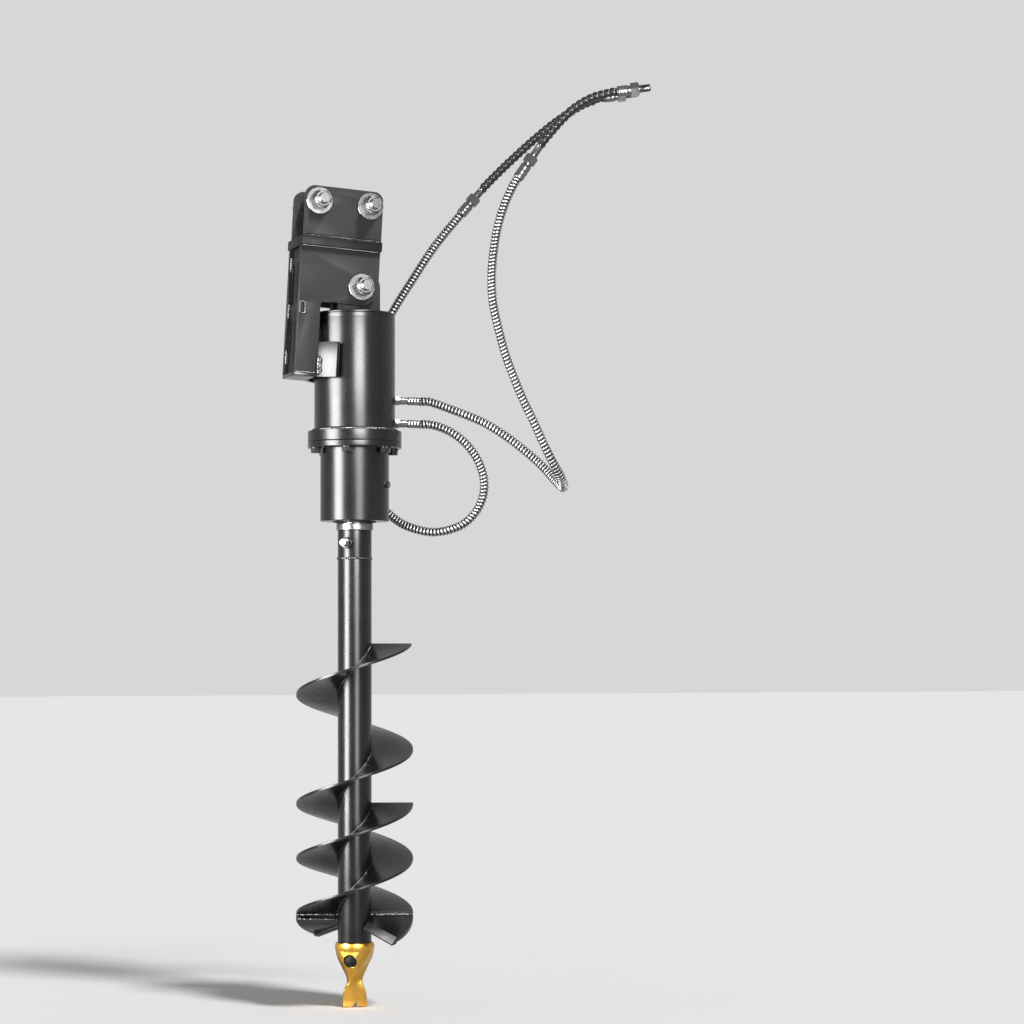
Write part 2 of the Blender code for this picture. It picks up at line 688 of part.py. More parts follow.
def pin_nut(name, place, grip):
    """Locking nut on its broad washer, against the plate on the front."""
    bore = PIN_THREAD_RADIUS + SEAT_GAP
    collar = WASHER_THICKNESS + NUT_HEIGHT
    top = collar + NUT_COLLAR_HEIGHT
    made = stepped(name, (
        ("round", WASHER_RADIUS, SEAT_GAP),
        ("round", WASHER_RADIUS, WASHER_THICKNESS),
        ("hex", NUT_FLATS, WASHER_THICKNESS),
        ("hex", NUT_FLATS, collar),
        ("round", NUT_COLLAR_RADIUS, collar),
        ("round", NUT_COLLAR_RADIUS, top),
        ("round", bore, top),
        ("round", bore, SEAT_GAP),
    ), ZINC, FRAME, hollow=True)
    aim(made, (place[0], -grip, place[1]), TO_FRONT)


def pins_and_nuts():
    """Two hitch pins and the pivot bolt, each with a nut in front."""
    left, right = pin_places()
    middle = (0, 0)
    shouldered_pin("hitch_pin_left", left, EAR_HALF_WIDTH)
    shouldered_pin("hitch_pin_right", right, EAR_HALF_WIDTH)
    shouldered_pin("pivot_bolt", middle, FRAME_HALF_WIDTH)
    pin_nut("hitch_nut_left", left, EAR_HALF_WIDTH)
    pin_nut("hitch_nut_right", right, EAR_HALF_WIDTH)
    pin_nut("pivot_nut", middle, FRAME_HALF_WIDTH)


def lugs():
    """Two lugs welded on the cap, carrying the pivot bush."""
    low = -CAP_DROP + SEAT_GAP
    outline = [(-LUG_RADIUS, low), (LUG_RADIUS, low)] + arc((0, 0), LUG_RADIUS, 0, 180, 16)
    bush = PIN_RADIUS + SEAT_GAP + BUSH_WALL
    inner_face = FRAME_HALF_WIDTH - PLATE - LUG_SIDE_CLEARANCE
    for name, side in (("lug_front", -1), ("lug_rear", 1)):
        holes = (circle((0, 0), bush + SEAT_GAP),)
        made = plate(name, outline, LUG_THICKNESS, BLACK_PAINT, HEAD, holes)
        made.rotation_euler = FACING_FRONT
        made.location.y = side * (inner_face - LUG_THICKNESS / 2)
    half = FRAME_HALF_WIDTH - PLATE - BUSH_END_CLEARANCE
    bore = PIN_RADIUS + SEAT_GAP
    made = ring("pivot_bush", bush, bore, half, -half, BRONZE, HEAD, SHAFT_STEPS)
    made.rotation_euler.x = math.pi / 2


def top_cap():
    """Round lid welded on the motor housing."""
    top = -CAP_DROP
    bottom = -HOUSING_TOP
    profile = (
        (0, top),
        (HOUSING_RADIUS - CAP_CHAMFER, top),
        (HOUSING_RADIUS, top - CAP_CHAMFER),
        (HOUSING_RADIUS, bottom),
        (0, bottom),
    )
    turned("top_cap", profile, BLACK_PAINT, HEAD)


def motor_housing():
    """Tube round the motor, with a hole for each port."""
    top = -HOUSING_TOP - SEAT_GAP
    bore = HOUSING_RADIUS - HOUSING_WALL
    made = ring("motor_housing", HOUSING_RADIUS, bore, top, -HOUSING_BOTTOM, BLACK_PAINT, HEAD)
    for drop in PORT_DROPS:
        hole = rod("port_hole", ADAPTER_STEM_RADIUS + SEAT_GAP, 2 * HOUSING_WALL, HEAD)
        aim(hole, (HOUSING_RADIUS - HOUSING_WALL / 2, 0, -drop), (1, 0, 0))
        cut(made, hole)


def bolt_bearings():
    """Directions of the flange bolts round the drive axis."""
    return [FLANGE_BOLT_FIRST + math.tau * i / FLANGE_BOLT_COUNT for i in range(FLANGE_BOLT_COUNT)]


def upper_flange():
    """Ring welded under the motor housing, with the six screws that hold the gearbox."""
    top = -HOUSING_BOTTOM - SEAT_GAP
    bottom = -LOWER_FLANGE_TOP
    edge = FLANGE_CHAMFER / 2
    profile = (
        (UPPER_FLANGE_BORE, top),
        (FLANGE_RADIUS - FLANGE_CHAMFER, top),
        (FLANGE_RADIUS, top - FLANGE_CHAMFER),
        (FLANGE_RADIUS, bottom + edge),
        (FLANGE_RADIUS - edge, bottom),
        (UPPER_FLANGE_BORE, bottom),
    )
    made = turned("upper_flange", profile, BLACK_PAINT, HEAD, shut=True)
    seat = -GEARBOX_TOP - SEAT_GAP
    bolt = stepped_mesh("flange_bolt", (
        ("hex", FLANGE_BOLT_FLATS, seat - FLANGE_BOLT_HEAD),
        ("hex", FLANGE_BOLT_FLATS, seat),
        ("round", FLANGE_BOLT_RADIUS, seat),
        ("round", FLANGE_BOLT_RADIUS, seat + FLANGE_BOLT_GRIP),
    ), points=SMALL_STEPS)
    places = []
    for bearing in bolt_bearings():
        across = FLANGE_BOLT_CIRCLE * math.cos(bearing)
        away = FLANGE_BOLT_CIRCLE * math.sin(bearing)
        places.append(Matrix.Translation((across, away, 0)) @ Matrix.Rotation(bearing, 4, "Z"))
    joined_copies(made, "flange_bolts", bolt, places, HEAD)


def gearbox_housing():
    """Cast pot with a flange at the top and a bore for the seal in its floor."""
    top = -LOWER_FLANGE_TOP - SEAT_GAP
    bottom = -GEARBOX_BOTTOM
    floor = bottom + GEARBOX_FLOOR
    race_seat = OUTER_RACE_RADIUS + SEAT_GAP
    seal_bore = SEAL_RADIUS + SEAT_GAP
    shelf = -BEARING_TOP
    cavity = GEARBOX_RADIUS - GEARBOX_WALL
    profile = (
        (cavity, top),
        (FLANGE_RADIUS - FLANGE_CHAMFER / 2, top),
        (FLANGE_RADIUS, top - FLANGE_CHAMFER / 2),
        (FLANGE_RADIUS, -GEARBOX_TOP + FLANGE_CHAMFER),
        (FLANGE_RADIUS - FLANGE_CHAMFER, -GEARBOX_TOP),
        (GEARBOX_RADIUS, -GEARBOX_TOP),
        (GEARBOX_RADIUS, bottom + GEARBOX_ROUND),
        (GEARBOX_RADIUS - GEARBOX_ROUND, bottom),
        (seal_bore, bottom),
        (seal_bore, floor),
        (race_seat, floor),
        (race_seat, shelf),
        (cavity, shelf),
    )
    made = turned("gearbox_housing", profile, BLACK_PAINT, HEAD, shut=True)
    flange_middle = -(LOWER_FLANGE_TOP + GEARBOX_TOP) / 2
    for bearing in bolt_bearings():
        hole = rod("bolt_hole", FLANGE_BOLT_RADIUS + SEAT_GAP, 2 * LOWER_FLANGE_THICKNESS, HEAD)
        across = FLANGE_BOLT_CIRCLE * math.cos(bearing)
        hole.location = (across, FLANGE_BOLT_CIRCLE * math.sin(bearing), flange_middle)
        hole.rotation_euler.z = bearing
        cut(made, hole)
    plug_hole = rod("plug_hole", OIL_PLUG_THREAD + SEAT_GAP, 2 * GEARBOX_WALL, HEAD)
    outward = (math.cos(OIL_PLUG_BEARING), math.sin(OIL_PLUG_BEARING), 0)
    aim(plug_hole, Vector(outward) * GEARBOX_RADIUS - Vector((0, 0, OIL_PLUG_DROP)), outward)
    cut(made, plug_hole)


def oil_plug():
    """Small level plug on the gearbox."""
    outward = Vector((math.cos(OIL_PLUG_BEARING), math.sin(OIL_PLUG_BEARING), 0))
    seat = GEARBOX_RADIUS + SEAT_GAP
    made = stepped("oil_plug", (
        ("round", OIL_PLUG_THREAD, -GEARBOX_WALL / 2),
        ("round", OIL_PLUG_THREAD, 0),
        ("hex", OIL_PLUG_FLATS, 0),
        ("hex", OIL_PLUG_FLATS, OIL_PLUG_HEIGHT),
    ), ZINC, HEAD, points=SMALL_STEPS)
    aim(made, outward * seat - Vector((0, 0, OIL_PLUG_DROP)), outward)


def motor():
    """Orbital motor: a banded body on the flange, with its spindle below."""
    seat = -HOUSING_BOTTOM
    top = seat + MOTOR_LENGTH
    spigot = seat - SEAT_GAP - MOTOR_SPIGOT_LENGTH
    band = MOTOR_LENGTH / MOTOR_BAND_COUNT
    profile = [(0, top)]
    for i in range(MOTOR_BAND_COUNT):
        high = top - i * band
        low = high - band
        profile += [(MOTOR_RADIUS - MOTOR_GROOVE, high), (MOTOR_RADIUS, high - MOTOR_GROOVE)]
        profile += [(MOTOR_RADIUS, low + MOTOR_GROOVE), (MOTOR_RADIUS - MOTOR_GROOVE, low)]
        if i < MOTOR_BAND_COUNT - 1:
            profile.pop()
    nose = UPPER_FLANGE_BORE - SEAT_GAP
    roof = seat + MOTOR_LENGTH / 2
    profile += [(nose, seat), (nose, spigot), (MOTOR_BORE, spigot), (MOTOR_BORE, roof), (0, roof)]
    made = turned("motor_body", profile, CAST_GREY, HEAD, steps=SHAFT_STEPS)
    for drop in PORT_DROPS:
        hole = rod("motor_port", ADAPTER_STEM_RADIUS + SEAT_GAP, MOTOR_RADIUS / 2, HEAD)
        aim(hole, (MOTOR_RADIUS, 0, -drop), (1, 0, 0))
        cut(made, hole)


def motor_shaft():
    """Spindle of the motor: a stout journal with a nose that carries the sun gear."""
    roof = -HOUSING_BOTTOM + MOTOR_LENGTH / 2 - SEAT_GAP
    shoulder = -GEAR_TOP_DROP + SEAT_GAP
    nose = -GEAR_BOTTOM_DROP
    profile = (
        (0, roof),
        (SPINDLE_RADIUS, roof),
        (SPINDLE_RADIUS, shoulder),
        (SPINDLE_NOSE_RADIUS, shoulder),
        (SPINDLE_NOSE_RADIUS, nose),
        (0, nose),
    )
    turned("motor_shaft", profile, GEAR_STEEL, HEAD, steps=SHAFT_STEPS)


def port_fittings():
    """Adapters screwed into the motor's ports, and the crimped hose tails on them."""
    seat = HOUSING_RADIUS + SEAT_GAP
    inner = MOTOR_RADIUS - MOTOR_RADIUS / 4 + SEAT_GAP - seat
    reach = ADAPTER_HEX_REACH
    crimp = FERRULE_RADIUS + FERRULE_GROOVE
    neck = FERRULE_LENGTH * FERRULE_NECK_SHARE
    outward = (1, 0, 0)
    for mark, drop in zip(("a", "b"), PORT_DROPS):
        made = stepped(f"port_adapter_{mark}", (
            ("round", ADAPTER_STEM_RADIUS, inner),
            ("round", ADAPTER_STEM_RADIUS, 0),
            ("hex", ADAPTER_FLATS, 0),
            ("hex", ADAPTER_FLATS, reach - ADAPTER_COLLAR),
            ("round", FERRULE_RADIUS, reach - ADAPTER_COLLAR),
            ("round", FERRULE_RADIUS, reach - SEAT_GAP),
        ), ZINC, HEAD, points=SMALL_STEPS)
        aim(made, (seat, 0, -drop), outward)
        made = stepped(f"ferrule_{mark}", (
            ("round", FERRULE_RADIUS, 0),
            ("round", FERRULE_RADIUS, neck),
            ("round", crimp, neck + FERRULE_GROOVE),
            ("round", crimp, FERRULE_LENGTH - FERRULE_GROOVE),
            ("round", FERRULE_RADIUS, FERRULE_LENGTH),
        ), ZINC, HEAD, points=SMALL_STEPS)
        aim(made, (seat + reach, 0, -drop), outward)


def involute_angle(pitch_radius, radius):
    """Angle from the middle of a tooth to its flank at a radius."""
    base = pitch_radius * math.cos(PRESSURE_ANGLE)
    at = math.acos(min(1, base / max(radius, base)))
    involute = math.tan(at) - at
    start = math.tan(PRESSURE_ANGLE) - PRESSURE_ANGLE
    half_tooth = (math.pi * GEAR_MODULE / 2 - BACKLASH) / 2 / pitch_radius
    return half_tooth + start - involute


def tooth_loop(teeth, phase, internal=False, samples=3):
    """Outline of a gear's teeth, or of the spaces in a ring for an inner gear."""
    pitch_radius = GEAR_MODULE * teeth / 2
    root = ROOT_SHARE * GEAR_MODULE
    low = pitch_radius - (RING_STUB_SHARE * GEAR_MODULE if internal else root)
    high = pitch_radius + (root if internal else STUB_SHARE * GEAR_MODULE)
    points = []
    for i in range(teeth):
        middle = phase + math.tau * i / teeth
        flank = []
        for j in range(samples):
            radius = low + (high - low) * j / (samples - 1)
            half = involute_angle(pitch_radius, radius)
            if internal:
                half += BACKLASH / pitch_radius
            flank.append((radius, half))
        for radius, half in flank:
            points.append((radius * math.cos(middle - half), radius * math.sin(middle - half)))
        for radius, half in reversed(flank):
            points.append((radius * math.cos(middle + half), radius * math.sin(middle + half)))
    return points


def planet_place(index, height=0):
    """Where a planet's axis stands round the drive axis."""
    bearing = math.tau * index / PLANET_COUNT
    return (PLANET_ORBIT * math.cos(bearing), PLANET_ORBIT * math.sin(bearing), height)


def gears():
    """Ring gear pressed in the pot, sun on the spindle and three planets between."""
    height = -(GEAR_TOP_DROP + GEAR_BOTTOM_DROP) / 2
    ring_outer = GEARBOX_RADIUS - GEARBOX_WALL - SEAT_GAP
    half_space = math.pi / RING_TEETH
    outline = circle((0, 0), ring_outer, ROUND_STEPS)
    spaces = tooth_loop(RING_TEETH, half_space, internal=True)
    made = plate("ring_gear", outline, GEAR_WIDTH, GEAR_STEEL, HEAD, (spaces,))
    made.location.z = height
    bore = circle((0, 0), SUN_BORE)
    made = plate("sun_gear", tooth_loop(SUN_TEETH, 0), GEAR_WIDTH - SEAT_GAP, GEAR_STEEL, HEAD, (bore,))
    made.location.z = height
    half_pitch = math.pi / PLANET_TEETH
    bore = circle((0, 0), PLANET_PIN_RADIUS + SEAT_GAP)
    for i in range(PLANET_COUNT):
        name = f"planet_gear_{i + 1}"
        outline = tooth_loop(PLANET_TEETH, half_pitch)
        made = plate(name, outline, GEAR_WIDTH - SEAT_GAP, GEAR_STEEL, HEAD, (bore,))
        made.location = planet_place(i, height)


def output_shaft():
    """Planet carrier and output shaft in one, down into the auger's hub."""
    top = -CARRIER_TOP
    underside = top - CARRIER_THICKNESS
    tail = -TUBE_TOP + SHAFT_TAIL_GAP
    profile = (
        (0, top),
        (CARRIER_RADIUS, top),
        (CARRIER_RADIUS, underside),
        (OUTPUT_RADIUS, underside),
        (OUTPUT_RADIUS, tail + PIN_CHAMFER),
        (OUTPUT_RADIUS - PIN_CHAMFER, tail),
        (0, tail),
    )
    made = turned("output_shaft", profile, GEAR_STEEL, HEAD, steps=AUGER_STEPS)
    cut(made, hub_bolt_hole("shaft_bolt_hole"))
    pin = stepped_mesh("planet_pin", (
        ("round", PLANET_PIN_RADIUS, top - CARRIER_THICKNESS / 2),
        ("round", PLANET_PIN_RADIUS, -GEAR_TOP_DROP),
    ), points=SMALL_STEPS)
    places = [Matrix.Translation(planet_place(i)) for i in range(PLANET_COUNT)]
    joined_copies(made, "planet_pins", pin, places, HEAD)


def bearing_and_seal():
    """Roller bearing of the output shaft, its cage of rollers and the seal below."""
    bore = OUTPUT_RADIUS + SEAT_GAP
    top = -BEARING_TOP - SEAT_GAP
    foot = top - BEARING_WIDTH
    ring("bearing_inner_race", INNER_RACE_RADIUS, bore, top, foot, BRIGHT_STEEL, HEAD, AUGER_STEPS)
    ring("bearing_outer_race", OUTER_RACE_RADIUS, OUTER_RACE_BORE, top, foot, BRIGHT_STEEL, HEAD,
         AUGER_STEPS)
    orbit = (INNER_RACE_RADIUS + OUTER_RACE_BORE) / 2
    rail_foot = top - CAGE_RAIL
    cage = ring("roller_cage", orbit + CAGE_RAIL / 2, orbit - CAGE_RAIL / 2, top, rail_foot,
                BRONZE, HEAD, SHAFT_STEPS)
    roller = stepped_mesh("roller", (
        ("round", ROLLER_RADIUS, foot + CAGE_RAIL / 2),
        ("round", ROLLER_RADIUS, top - CAGE_RAIL / 2),
    ), points=SMALL_STEPS // 2)
    places = []
    for i in range(ROLLER_COUNT):
        bearing = math.tau * i / ROLLER_COUNT
        places.append(Matrix.Translation((orbit * math.cos(bearing), orbit * math.sin(bearing), 0)))
    joined_copies(cage, "rollers", roller, places, HEAD)
    top = -GEARBOX_BOTTOM + GEARBOX_FLOOR - SEAT_GAP
    ring("oil_seal", SEAL_RADIUS, bore, top, -SEAL_BOTTOM, RUBBER, HEAD, AUGER_STEPS)


def shaft_collar():
    """Bright ring on the output shaft, between the seal and the auger's hub."""
    bore = OUTPUT_RADIUS + SEAT_GAP
    profile = (
        (bore, -COLLAR_TOP),
        (COLLAR_RADIUS - COLLAR_CHAMFER, -COLLAR_TOP),
        (COLLAR_RADIUS, -COLLAR_TOP - COLLAR_CHAMFER),
        (COLLAR_RADIUS, -HUB_TOP + COLLAR_CHAMFER),
        (COLLAR_RADIUS - COLLAR_CHAMFER, -HUB_TOP),
        (bore, -HUB_TOP),
    )
    turned("shaft_collar", profile, BRIGHT_STEEL, HEAD, steps=AUGER_STEPS, shut=True)


def radial(bearing):
    """Unit direction out from the drive axis."""
    return Vector((math.cos(bearing), math.sin(bearing), 0))


def hub_bolt_hole(name):
    """Cross hole through the hub and the shaft in it."""
    hole = rod(name, HUB_BOLT_RADIUS + SEAT_GAP, 4 * TUBE_RADIUS, HEAD)
    drop = HUB_TOP + HUB_BOLT_DROP
    return aim(hole, (0, 0, -drop), radial(HUB_BOLT_BEARING))


def hub_and_bolt():
    """Socket of the auger over the output shaft, held by a cross bolt."""
    bore = OUTPUT_RADIUS + HUB_FIT
    top = -HUB_TOP - SEAT_GAP
    made = ring("auger_hub", TUBE_RADIUS, bore, top, -TUBE_TOP, BLACK_PAINT, HEAD, AUGER_STEPS)
    cut(made, hub_bolt_hole("hub_bolt_hole"))
    outward = radial(HUB_BOLT_BEARING)
    place = Vector((0, 0, -HUB_TOP - HUB_BOLT_DROP))
    seat = TUBE_RADIUS + SEAT_GAP
    tail = seat + HUB_NUT_HEIGHT + HUB_BOLT_TAIL
    bolt = stepped("hub_bolt", (
        ("hex", HUB_BOLT_FLATS, -seat - HUB_BOLT_HEAD),
        ("hex", HUB_BOLT_FLATS, -seat),
        ("round", HUB_BOLT_RADIUS, -seat),
        ("round", HUB_BOLT_RADIUS, tail - PIN_CHAMFER),
        ("round", HUB_BOLT_RADIUS - PIN_CHAMFER, tail),
    ), ZINC, HEAD, points=SMALL_STEPS)
    aim(bolt, place, outward)
    bore = HUB_BOLT_RADIUS + SEAT_GAP
    nut = stepped("hub_nut", (
        ("hex", HUB_BOLT_FLATS, seat),
        ("hex", HUB_BOLT_FLATS, seat + HUB_NUT_HEIGHT),
        ("round", bore, seat + HUB_NUT_HEIGHT),
        ("round", bore, seat),
    ), ZINC, HEAD, hollow=True, points=SMALL_STEPS)
    aim(nut, place, outward)


def auger_tube():
    """Pipe that carries the flights."""
    top = -TUBE_TOP - SEAT_GAP
    bore = TUBE_RADIUS - TUBE_WALL
    ring("auger_tube", TUBE_RADIUS, bore, top, -TUBE_BOTTOM, BLACK_PAINT, AUGER, AUGER_STEPS)


def flight(name, first_bearing, turns):
    """Helical flight: a radial line screwed up the tube, then given its thickness."""
    mesh = bpy.data.meshes.new(name)
    inner = TUBE_RADIUS + SEAT_GAP
    foot = -FLIGHT_BOTTOM + FLIGHT_THICKNESS / 2
    mesh.from_pydata([(FLIGHT_RADIUS, 0, foot), (inner, 0, foot)], [(0, 1)], [])
    made = piece(name, mesh, BLACK_PAINT, AUGER)
    made.rotation_euler.z = first_bearing
    climb = made.modifiers.new("climb", "SCREW")
    climb.axis = "Z"
    climb.angle = math.tau * turns
    climb.screw_offset = FLIGHT_PITCH * turns
    climb.steps = round(AUGER_STEPS * turns)
    climb.render_steps = climb.steps
    climb.use_merge_vertices = False
    climb.use_smooth_shade = True
    wall = made.modifiers.new("wall", "SOLIDIFY")
    wall.thickness = FLIGHT_THICKNESS
    wall.offset = 0
    return made


def flights():
    """The long flight and the short one that makes the double start at the bottom."""
    flight("main_flight", math.pi, MAIN_TURNS)
    flight("second_flight", 0, SECOND_TURNS)


def blade_carrier(name, bearing):
    """Slanted plane of a cutting blade, hinged on the flight's lower edge."""
    made = bpy.data.objects.new(name, None)
    made.parent = AUGER
    PARTS.objects.link(made)
    top = -FLIGHT_BOTTOM - BLADE_THICKNESS / 2 / math.cos(BLADE_SLOPE)
    tilt = Matrix.Rotation(bearing, 4, "Z") @ Matrix.Translation((0, 0, top))
    made.matrix_local = tilt @ Matrix.Rotation(BLADE_SLOPE, 4, "X")
    return made


def cutting_blades():
    """Two flat blades under the flights, each with a tooth bar along its edge."""
    stretch = 1 / math.cos(BLADE_SLOPE)
    outline = [(TUBE_RADIUS / 2, 0), (FLIGHT_RADIUS, 0)]
    for i in range(1, BLADE_ARC_STEPS + 1):
        angle = BLADE_SWEEP * i / BLADE_ARC_STEPS
        across = FLIGHT_RADIUS * math.cos(angle)
        outline.append((across, -FLIGHT_RADIUS * math.sin(angle) * stretch))
    inner = TUBE_RADIUS / 2
    across = inner * math.cos(BLADE_SWEEP)
    outline.append((across, -inner * math.sin(BLADE_SWEEP) * stretch))
    for i, bearing in enumerate((0, math.pi)):
        slant = blade_carrier(f"blade_slant_{i + 1}", bearing)
        made = plate(f"cutting_blade_{i + 1}", outline, BLADE_THICKNESS, BLACK_PAINT, slant)
        core = rod("tube_clearance", TUBE_RADIUS + SEAT_GAP, 2 * FLIGHT_RADIUS, AUGER,
                   steps=AUGER_STEPS)
        core.location.z = -FLIGHT_BOTTOM
        cut(made, core)
        tooth_bar(f"tooth_bar_{i + 1}", slant)


def tooth_bar(name, slant):
    """Hard bar butted against a blade's leading edge, sharp at its front."""
    stretch = 1 / math.cos(BLADE_SLOPE)
    along = Vector((math.cos(BLADE_SWEEP), -math.sin(BLADE_SWEEP) * stretch, 0))
    ahead = Vector((along.y, -along.x, 0)).normalized()
    back = SEAT_GAP
    front = TOOTH_DEPTH
    half = TOOTH_THICKNESS / 2
    profile = ((back, half), (back, -half), (front, -half), (front, -half + TOOTH_EDGE))
    sections = []
    for distance in (TOOTH_INNER, TOOTH_OUTER):
        start = along * distance
        sections.append([start + ahead * reach + Vector((0, 0, high)) for reach, high in profile])
    from_form(name, skin(bmesh.new(), sections), WEAR_STEEL, slant)


def pilot_bit():
    """Gold point: a round rim, milled flats, a twist and a forked tip."""
    sections = []
    rows = zip(PILOT_DROP_SHARES, PILOT_WIDTH_SHARES, PILOT_FLAT_SHARES, PILOT_TWIST)
    top = -TUBE_BOTTOM - SEAT_GAP
    for drop, width, flat, twist in rows:
        turn = Matrix.Rotation(math.radians(twist), 3, "Z")
        radius = PILOT_RADIUS * width
        limit = PILOT_RADIUS * flat
        ring_points = []
        for i in range(PILOT_SIDES):
            angle = math.tau * i / PILOT_SIDES
            side = max(-limit, min(limit, radius * math.sin(angle)))
            point = turn @ Vector((radius * math.cos(angle), side, 0))
            point.z = top - PILOT_LENGTH * drop
            ring_points.append(point)
        sections.append(ring_points)
    made = from_form("pilot_bit", skin(bmesh.new(), sections), GOLD, AUGER)
    fork = rod("fork_notch", FORK_DEPTH, 4 * PILOT_RADIUS, AUGER, steps=3)
    fork.scale = (1, FORK_WIDTH / FORK_DEPTH, 1)
    aim(fork, (0, 0, top - PILOT_LENGTH - FORK_DEPTH / 4), (0, 1, 0))
    fork.rotation_euler = (math.pi / 2, -math.pi / 2, 0)
    cut(made, fork)
    bearing = PILOT_BOLT_BEARING - AUGER_PHASE
    outward = radial(bearing)
    place = Vector((0, 0, top - PILOT_BOLT_DROP))
    recess = rod("bolt_recess", PILOT_BOLT_FLATS * PILOT_RECESS_SHARE, PILOT_RADIUS, AUGER)
    aim(recess, place + outward * (PILOT_BOLT_SEAT + PILOT_RADIUS / 2), outward)
    cut(made, recess)
    hole = rod("bolt_bore", PILOT_BOLT_RADIUS + SEAT_GAP, 2 * PILOT_BOLT_DEPTH, AUGER)
    aim(hole, place + outward * PILOT_BOLT_SEAT, outward)
    cut(made, hole)
    bolt = stepped("pilot_bolt", (
        ("round", PILOT_BOLT_RADIUS, -PILOT_BOLT_DEPTH + SEAT_GAP),
        ("round", PILOT_BOLT_RADIUS, SEAT_GAP),
        ("hex", PILOT_BOLT_FLATS, SEAT_GAP),
        ("hex", PILOT_BOLT_FLATS, PILOT_BOLT_HEAD),
    ), WEAR_STEEL, AUGER, points=SMALL_STEPS)
    aim(bolt, place + outward * PILOT_BOLT_SEAT, outward)


def smooth_route(points):
    """Even points on a smooth curve through a hose's hand-chosen places."""
    knots = [Vector(point) for point in points]
    knots = [2 * knots[0] - knots[1], *knots, 2 * knots[-1] - knots[-2]]
    fine = []
    for before, start, end, after in zip(knots, knots[1:], knots[2:], knots[3:]):
        for i in range(ROUTE_STEPS):
            t = i / ROUTE_STEPS
            bend = 2 * before - 5 * start + 4 * end - after
            turn = 3 * start - before - 3 * end + after
            fine.append(start + (end - before) * (t / 2) + bend * (t * t / 2) + turn * (t ** 3 / 2))
    fine.append(knots[-2])
    lengths = [0]
    for start, end in zip(fine, fine[1:]):
        lengths.append(lengths[-1] + (end - start).length)
    count = max(2, round(lengths[-1] / HOSE_SPACING))
    even = []
    j = 0
    for i in range(count + 1):
        wanted = lengths[-1] * i / count
        while j < len(lengths) - 2 and lengths[j + 1] < wanted:
            j += 1
        share = (wanted - lengths[j]) / (lengths[j + 1] - lengths[j])
        even.append(fine[j].lerp(fine[j + 1], share))
    return even


def hose(name, ends, headings, route, material):
    """A flexible line as a tube along its route, straight out of its fitting at each end."""
    first, last = (Vector(point) for point in ends)
    leave, arrive = (Vector(heading).normalized() for heading in headings)
    first += leave * SEAT_GAP
    last -= arrive * SEAT_GAP
    inner = (first + leave * HOSE_STRAIGHT, *route, last - arrive * HOSE_STRAIGHT)
    curve = bpy.data.curves.new(name, "CURVE")
    curve.dimensions = "3D"
    curve.bevel_depth = HOSE_RADIUS
    curve.bevel_resolution = HOSE_BEVEL_RESOLUTION
    curve.use_fill_caps = True
    spline = curve.splines.new("POLY")
    points = (first, *smooth_route(inner), last)
    spline.points.add(len(points) - 1)
    for point, place in zip(spline.points, points):
        point.co = (*place, 1)
    curve.materials.append(material)
    made = bpy.data.objects.new(name, curve)
    PARTS.objects.link(made)
    return made


def line_fitting(name, span, nut_share):
    """Crimped shell, hexagon nut and stem between two points of a line."""
    start, end = (Vector(point) for point in span)
    length = (end - start).length
    nut = length * nut_share
    edge = SEAT_GAP + FERRULE_GROOVE
    made = stepped(name, (
        ("round", UNION_SHELL_RADIUS - FERRULE_GROOVE, SEAT_GAP),
        ("round", UNION_SHELL_RADIUS, edge),
        ("round", UNION_SHELL_RADIUS, nut),
        ("hex", UNION_NUT_FLATS, nut),
        ("hex", UNION_NUT_FLATS, nut + UNION_NUT_LENGTH),
        ("round", UNION_STEM_RADIUS, nut + UNION_NUT_LENGTH),
        ("round", UNION_STEM_RADIUS, length - edge),
        ("round", UNION_STEM_RADIUS - FERRULE_GROOVE, length - SEAT_GAP),
    ), ZINC, None, points=SMALL_STEPS)
    return aim(made, start, end - start)


def hoses():
    """Two guarded hoses from the ports, each joined to a wrapped lead above."""
    start = PIVOT.x + HOUSING_RADIUS + ADAPTER_HEX_REACH + FERRULE_LENGTH + SEAT_GAP
    outward = (1, 0, 0)
    lines = (
        ("a", HOSE_A_ROUTE, UNION_A_SPAN, LEAD_A_ROUTE, END_A_SPAN),
        ("b", HOSE_B_ROUTE, UNION_B_SPAN, LEAD_B_ROUTE, END_B_SPAN),
    )
    for (mark, route, union, lead, end), drop in zip(lines, PORT_DROPS):
        port = (start, 0, PIVOT.z - drop)
        through = Vector(union[1]) - Vector(union[0])
        onward = Vector(end[1]) - Vector(end[0])
        hose(f"hose_{mark}", (port, union[0]), (outward, through), route, ZINC)
        line_fitting(f"union_{mark}", union, UNION_NUT_SHARE)
        hose(f"lead_{mark}", (union[1], end[0]), (through, onward), lead, RUBBER)
        line_fitting(f"end_fitting_{mark}", end, END_NUT_SHARE)


side_plates()
back_web()
foot_plate()
cradle_pads()
cross_plate()
ear_plates()
pins_and_nuts()
lugs()
top_cap()
motor_housing()
upper_flange()
gearbox_housing()
oil_plug()
motor()
motor_shaft()
port_fittings()
gears()
output_shaft()
bearing_and_seal()
shaft_collar()
hub_and_bolt()
auger_tube()
flights()
cutting_blades()
pilot_bit()
hoses()
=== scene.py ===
"""Looks of the earth auger drive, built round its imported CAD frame. Metres, +Z up."""

import math

import bmesh
import bpy
from mathutils import Matrix, Vector


